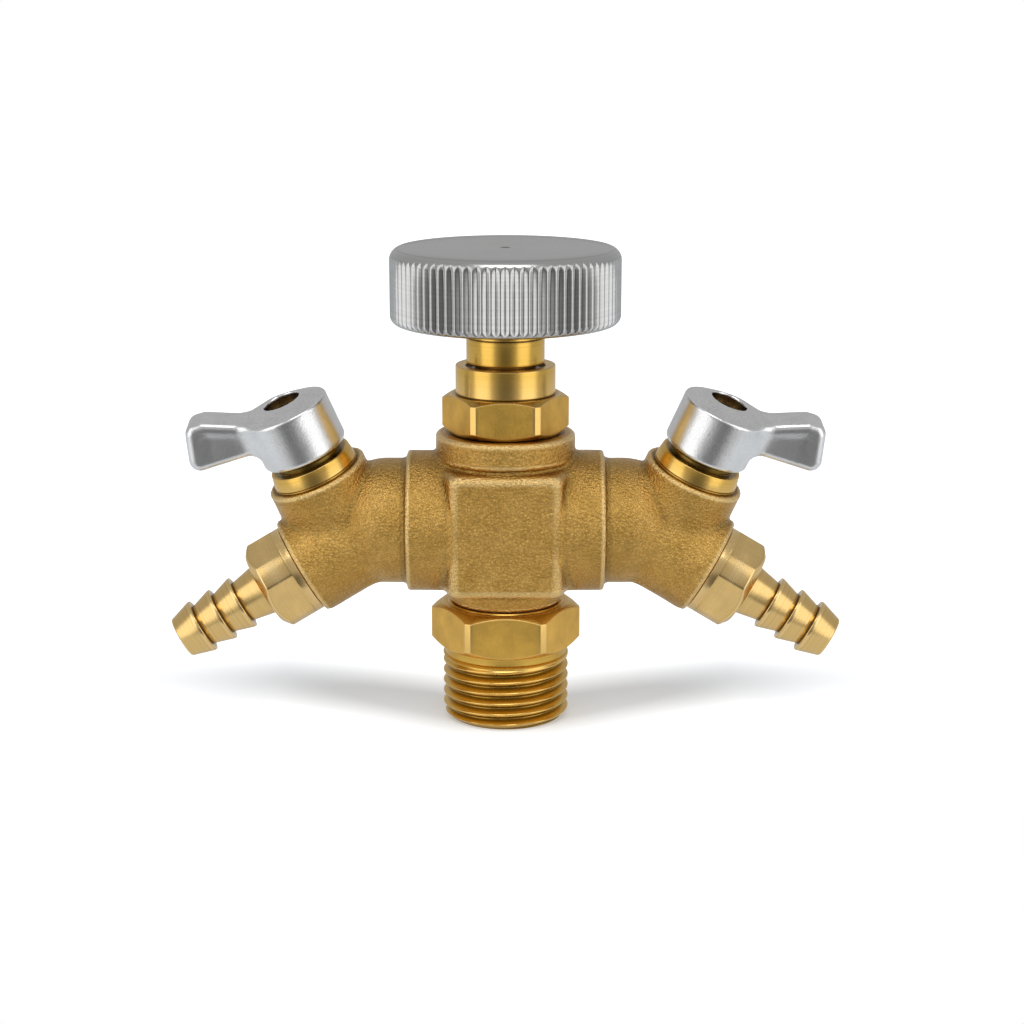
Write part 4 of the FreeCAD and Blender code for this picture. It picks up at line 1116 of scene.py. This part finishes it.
def shrunk(corners, amount):
    """The outline with every side moved in by an amount: each corner is where its two sides then
    cross, by solving inward normal . corner = its old value + amount for both."""
    ways = np.roll(corners, -1, 0) - corners
    ways /= np.linalg.norm(ways, axis=1, keepdims=True)
    inward = np.stack([-ways[:, 1], ways[:, 0]], -1)
    systems = np.stack([np.roll(inward, 1, 0), inward], 1)
    targets = np.einsum("kij,kj->ki", systems, corners) + amount
    return np.linalg.solve(systems, targets[..., None])[..., 0]


ROUNDED_WING = shrunk(WING_OUTLINE, WING_ROUNDING)
print("corners of the wing, drawn in:", np.round(ROUNDED_WING, 2).tolist())

# %% Distance of a lever
HUB_RADIUS, CROWN_TOP, CONE_START = 7.15, 9.75, 3.45
CONE_WAY = (0.357, 0.934)
RECESS_RADIUS, RECESS_FLOOR, SCREW_HOLE = 3.1, 6.35, 1.85
SQUARE_HALF, SQUARE_TOP = 2.95, 5.0


def wing_distance(points):
    """The plate: its outline, drawn in and let out again to round its corners, melted with its two
    faces. Each face sinks below a ridge along the top, and rises again slowly to the tip, the hub
    and the foot."""
    across, depth, up = points[:, 0], np.abs(points[:, 1]), points[:, 2]
    plan = outline_distance(across, up, ROUNDED_WING) - WING_ROUNDING
    ridge = np.interp(across, WEB_TOP[:, 0], WEB_TOP[:, 1])
    tip = 17.1 - 0.24 * (up - 4.0)
    sunk = WEB_DEPTH * eased((ridge - up) / 2.3) * np.clip((up - 1.0) / 7.0, 0.0, 1.0)
    sunk *= eased((tip - across) / 3.2) * eased((across - 5.6) / 4.0)
    return smooth_max(plan, depth - WING_HALF_WIDTH + sunk, 1.5)


def lever_distance(points):
    """Hub and wing melted together, less the screw's recess, its hole and the square drive. The
    hub is the greatest of its side, its foot and its cone, each corner slightly melted."""
    away, up = np.hypot(points[:, 0], points[:, 1]), points[:, 2]
    cone = (up - CROWN_TOP) * CONE_WAY[1] + (away - CONE_START) * CONE_WAY[0]
    hub = smooth_max(smooth_max(away - HUB_RADIUS, cone, 0.35), -up, 1.0)
    solid = smooth_min(hub, wing_distance(points), 2.0)
    solid = smooth_max(solid, up - CROWN_TOP - np.maximum(0.0, away - 4.0) * 0.9, 0.3)
    recess = np.maximum(away - RECESS_RADIUS, RECESS_FLOOR - up)
    square = np.maximum(np.abs(points[:, :2]).max(1) - SQUARE_HALF, up - SQUARE_TOP)
    hole = np.minimum(np.minimum(recess, away - SCREW_HOLE), square)
    return smooth_max(solid, -hole, 0.22)


# %% The levers
HUB_FOOT = 13.13
LEVER_LOW, LEVER_HIGH = (-8.0, -7.9, -0.7), (19.6, 7.9, 13.3)


def make_lever(side_name, side):
    cell = 0.24
    points, quads = drawn_skin(lever_distance, LEVER_LOW, LEVER_HIGH, cell)
    # Edges lighter from wear and a painted highlight; hollows and the screw's recess and hole get
    # painted shade.
    wear_light_and_shade = np.clip(curvature(lever_distance, points, 0.35) * 0.25 - 0.08, -0.3, 1.0)
    bored = (np.hypot(points[:, 0], points[:, 1]) < 3.3) & (points[:, 2] < 9.4)
    wear_light_and_shade = np.where(bored, -1.0, wear_light_and_shade)
    uneven = lattice_noise(points, 2.3, 11) * 0.02
    points = points + slope(lever_distance, points) * uneven[:, None] + HUB_FOOT * UP
    add_piece(f"{side_name}_wing_lever", on_axis(points, "stem", side), quads, f"{side_name}_cock",
              [f"{side_name}_lever"], CAST_SILVER, sharp=60.0,
              values={"edge": wear_light_and_shade})


for side_name, side in SIDES.items():
    make_lever(side_name, side)

# %% [markdown]
# ## Pieces that keep their CAD shape
# The inner pieces and the thin washers are right as they are. They only get their finish: brass,
# rubber or red fibre.

# %% Finishes of the CAD nodes
SOFT_NODES = {"seat_washer": SEAL_RUBBER, "spindle_seals": SEAL_RUBBER, "inlet_washer": RED_FIBRE}
for side_name in SIDES:
    SOFT_NODES[f"{side_name}_plug_seals"] = SEAL_RUBBER
    SOFT_NODES[f"{side_name}_thrust_washer"] = RED_FIBRE
    SOFT_NODES[f"{side_name}_barb_washer"] = RED_FIBRE
for name, node in nodes.items():
    if not node.hide_render:
        node.data.materials.clear()
        node.data.materials.append(SOFT_NODES.get(name, INNER_BRASS))
print("CAD nodes still shown:", sorted(n for n, o in nodes.items() if not o.hide_render))

# %% [markdown]
# ## Studio
# Polished metal shows its surroundings, so the studio matters as much as the finish. Two tall soft
# boxes stand left and right of the camera and draw the bright bands on the turned brass, with a
# darker band between them where the room behind the camera shows. A third box hangs overhead. The
# table top is pale and takes the soft shadow, deepened there by a painted shadow in its own light.

# %% World
def ray_kinds(tree):
    """One for rays from the camera, and one for rays by way of a reflection or through glass."""
    path = tree.nodes.new("ShaderNodeLightPath").outputs
    mirrored = math_node(tree, "MAXIMUM", path["Is Glossy Ray"], path["Is Transmission Ray"])
    return path["Is Camera Ray"], mirrored


ROOM_LIGHT = [(0, 0.11), (14, 0.15), (22, 0.30), (30, 0.48), (80, 0.50), (90, 0.43), (100, 0.37),
              (120, 0.53), (150, 0.50), (180, 0.38)]
OVERHEAD_LIGHT = 0.43
WHITE = (1.0, 1.0, 1.0)


def make_world():
    """The room: white behind the object for the camera. As light and in reflections it is grey, by
    the direction from the camera's side round to the back: each pair of the list is an angle in
    degrees and a brightness. Above the level of the table it is an even grey."""
    world = bpy.data.worlds.new("studio_room")
    bpy.context.scene.world = world
    world.use_nodes = True
    tree = world.node_tree
    way = new_node(tree, "ShaderNodeSeparateXYZ", {0: place_in(tree, "Generated")}).outputs
    level = new_node(tree, "ShaderNodeCombineXYZ", {"X": way["X"], "Y": way["Y"]})
    round_about = new_node(tree, "ShaderNodeVectorMath", {0: level.outputs[0]},
                           operation="NORMALIZE")
    front_to_back = new_node(tree, "ShaderNodeSeparateXYZ", {0: round_about.outputs[0]})
    place = spread(tree, front_to_back.outputs["Y"], -1.0, 1.0, 0.0, 1.0)
    ramp = new_node(tree, "ShaderNodeValToRGB", {0: place})
    stops = ramp.color_ramp.elements
    while len(stops) < len(ROOM_LIGHT):
        stops.new(0.5)
    for stop, (azimuth, value) in zip(stops, ROOM_LIGHT):
        stop.position = 0.5 - 0.5 * math.cos(math.radians(azimuth))
        stop.color = (value, value, value, 1.0)
    overhead = spread(tree, way["Z"], -0.06, 0.22, 0.0, 1.0)
    room = mixed_colour(tree, overhead, ramp.outputs["Color"], (OVERHEAD_LIGHT,) * 3)
    seen, mirrored = ray_kinds(tree)
    room = math_node(tree, "ADD", room, math_node(tree, "MULTIPLY", mirrored, 0.04))
    feed(tree, tree.nodes["Background"],
         {"Strength": mixed_value(tree, seen, room, 1.0), "Color": WHITE})


make_world()
print("room: brightness from", min(ROOM_LIGHT, key=lambda stop: stop[1])[1], "to",
      max(ROOM_LIGHT, key=lambda stop: stop[1])[1])

# %% Table top
TABLE_EDGE, TABLE_FAR = -0.045, 3.0
TABLE_COLOUR = (0.73, 0.77, 0.815)
PAINTED_SHADOW_LIGHT, MIRRORED_LIGHT = 0.27, 0.20
PAINTED_SHADOW_DEPTH, PAINTED_SHADOW_WIDTH = 0.017, 0.086


def make_table():
    """A pale table top under the thread. It is matt, with light of its own for the camera, and a
    little for reflections. Its own light is low in a band under the arms, which bends forward
    round the thread: a painted shadow, darker than white even where no shadow falls, over which the
    real shadow lies; everywhere else the table ends as white.
    How far a point is from the band's middle: (behind / depth)^2 + (aside / width)^2, rooted."""
    mesh = bpy.data.meshes.new("table_top")
    mesh.from_pydata([(-TABLE_FAR, TABLE_EDGE, 0), (TABLE_FAR, TABLE_EDGE, 0),
                      (TABLE_FAR, TABLE_FAR, 0), (-TABLE_FAR, TABLE_FAR, 0)], [], [(0, 1, 2, 3)])
    table = bpy.data.objects.new("table_top", mesh)
    bpy.context.scene.collection.objects.link(table)
    material, tree, shader = new_material("pale_table", {
        "Base Color": TABLE_COLOUR, "Roughness": 0.9, "Specular IOR Level": 0.2,
        "Emission Color": WHITE})
    place = new_node(tree, "ShaderNodeSeparateXYZ", {0: place_in(tree, "Object")}).outputs
    aside = math_node(tree, "ABSOLUTE", place["X"])
    middle = spread(tree, aside, 0.008, 0.040, 0.002, 0.018)
    behind = math_node(tree, "SUBTRACT", place["Y"], middle)
    parts = [math_node(tree, "DIVIDE", behind, PAINTED_SHADOW_DEPTH),
             math_node(tree, "DIVIDE", aside, PAINTED_SHADOW_WIDTH)]
    squares = [math_node(tree, "MULTIPLY", part, part) for part in parts]
    away = math_node(tree, "SQRT", math_node(tree, "ADD", *squares))
    # Painted shadow: the table's own light is lowered in the band under the arms.
    own = spread(tree, away, 0.35, 1.35, PAINTED_SHADOW_LIGHT, 1.0)
    seen, mirrored = ray_kinds(tree)
    light = math_node(tree, "ADD", math_node(tree, "MULTIPLY", own, seen),
                      math_node(tree, "MULTIPLY", mirrored, MIRRORED_LIGHT))
    feed(tree, shader, {"Emission Strength": light})
    mesh.materials.append(material)


make_table()
print("table from", TABLE_EDGE, "to", TABLE_FAR, "m")

# %% Lamps
LIT_POINT = np.array([0.0, 0.0, 0.04])


def add_box_light(name, place, width, height, radiance):
    """A soft box: an area light turned to face the object. Its power is radiance * pi * area."""
    data = bpy.data.lights.new(name, "AREA")
    data.shape = "RECTANGLE"
    data.size, data.size_y = width, height
    data.energy = radiance * math.pi * width * height
    lamp = bpy.data.objects.new(name, data)
    lamp.location = place
    way = LIT_POINT - np.array(place)
    lamp.rotation_euler = (math.atan2(math.hypot(way[0], way[1]), -way[2]), 0.0,
                           math.atan2(-way[0], way[1]))
    lamp.visible_camera = False
    bpy.context.scene.collection.objects.link(lamp)


for side_name, side in SIDES.items():
    add_box_light(f"{side_name}_box", (side * 0.47, -0.33, 0.12),
                  width=0.42, height=0.80, radiance=0.86)
add_box_light("top_box", (0.0, -0.32, 0.60), width=0.42, height=0.28, radiance=2.4)
bpy.context.scene.view_settings.view_transform = "Standard"
print("soft boxes:", [lamp.name for lamp in bpy.data.lights])
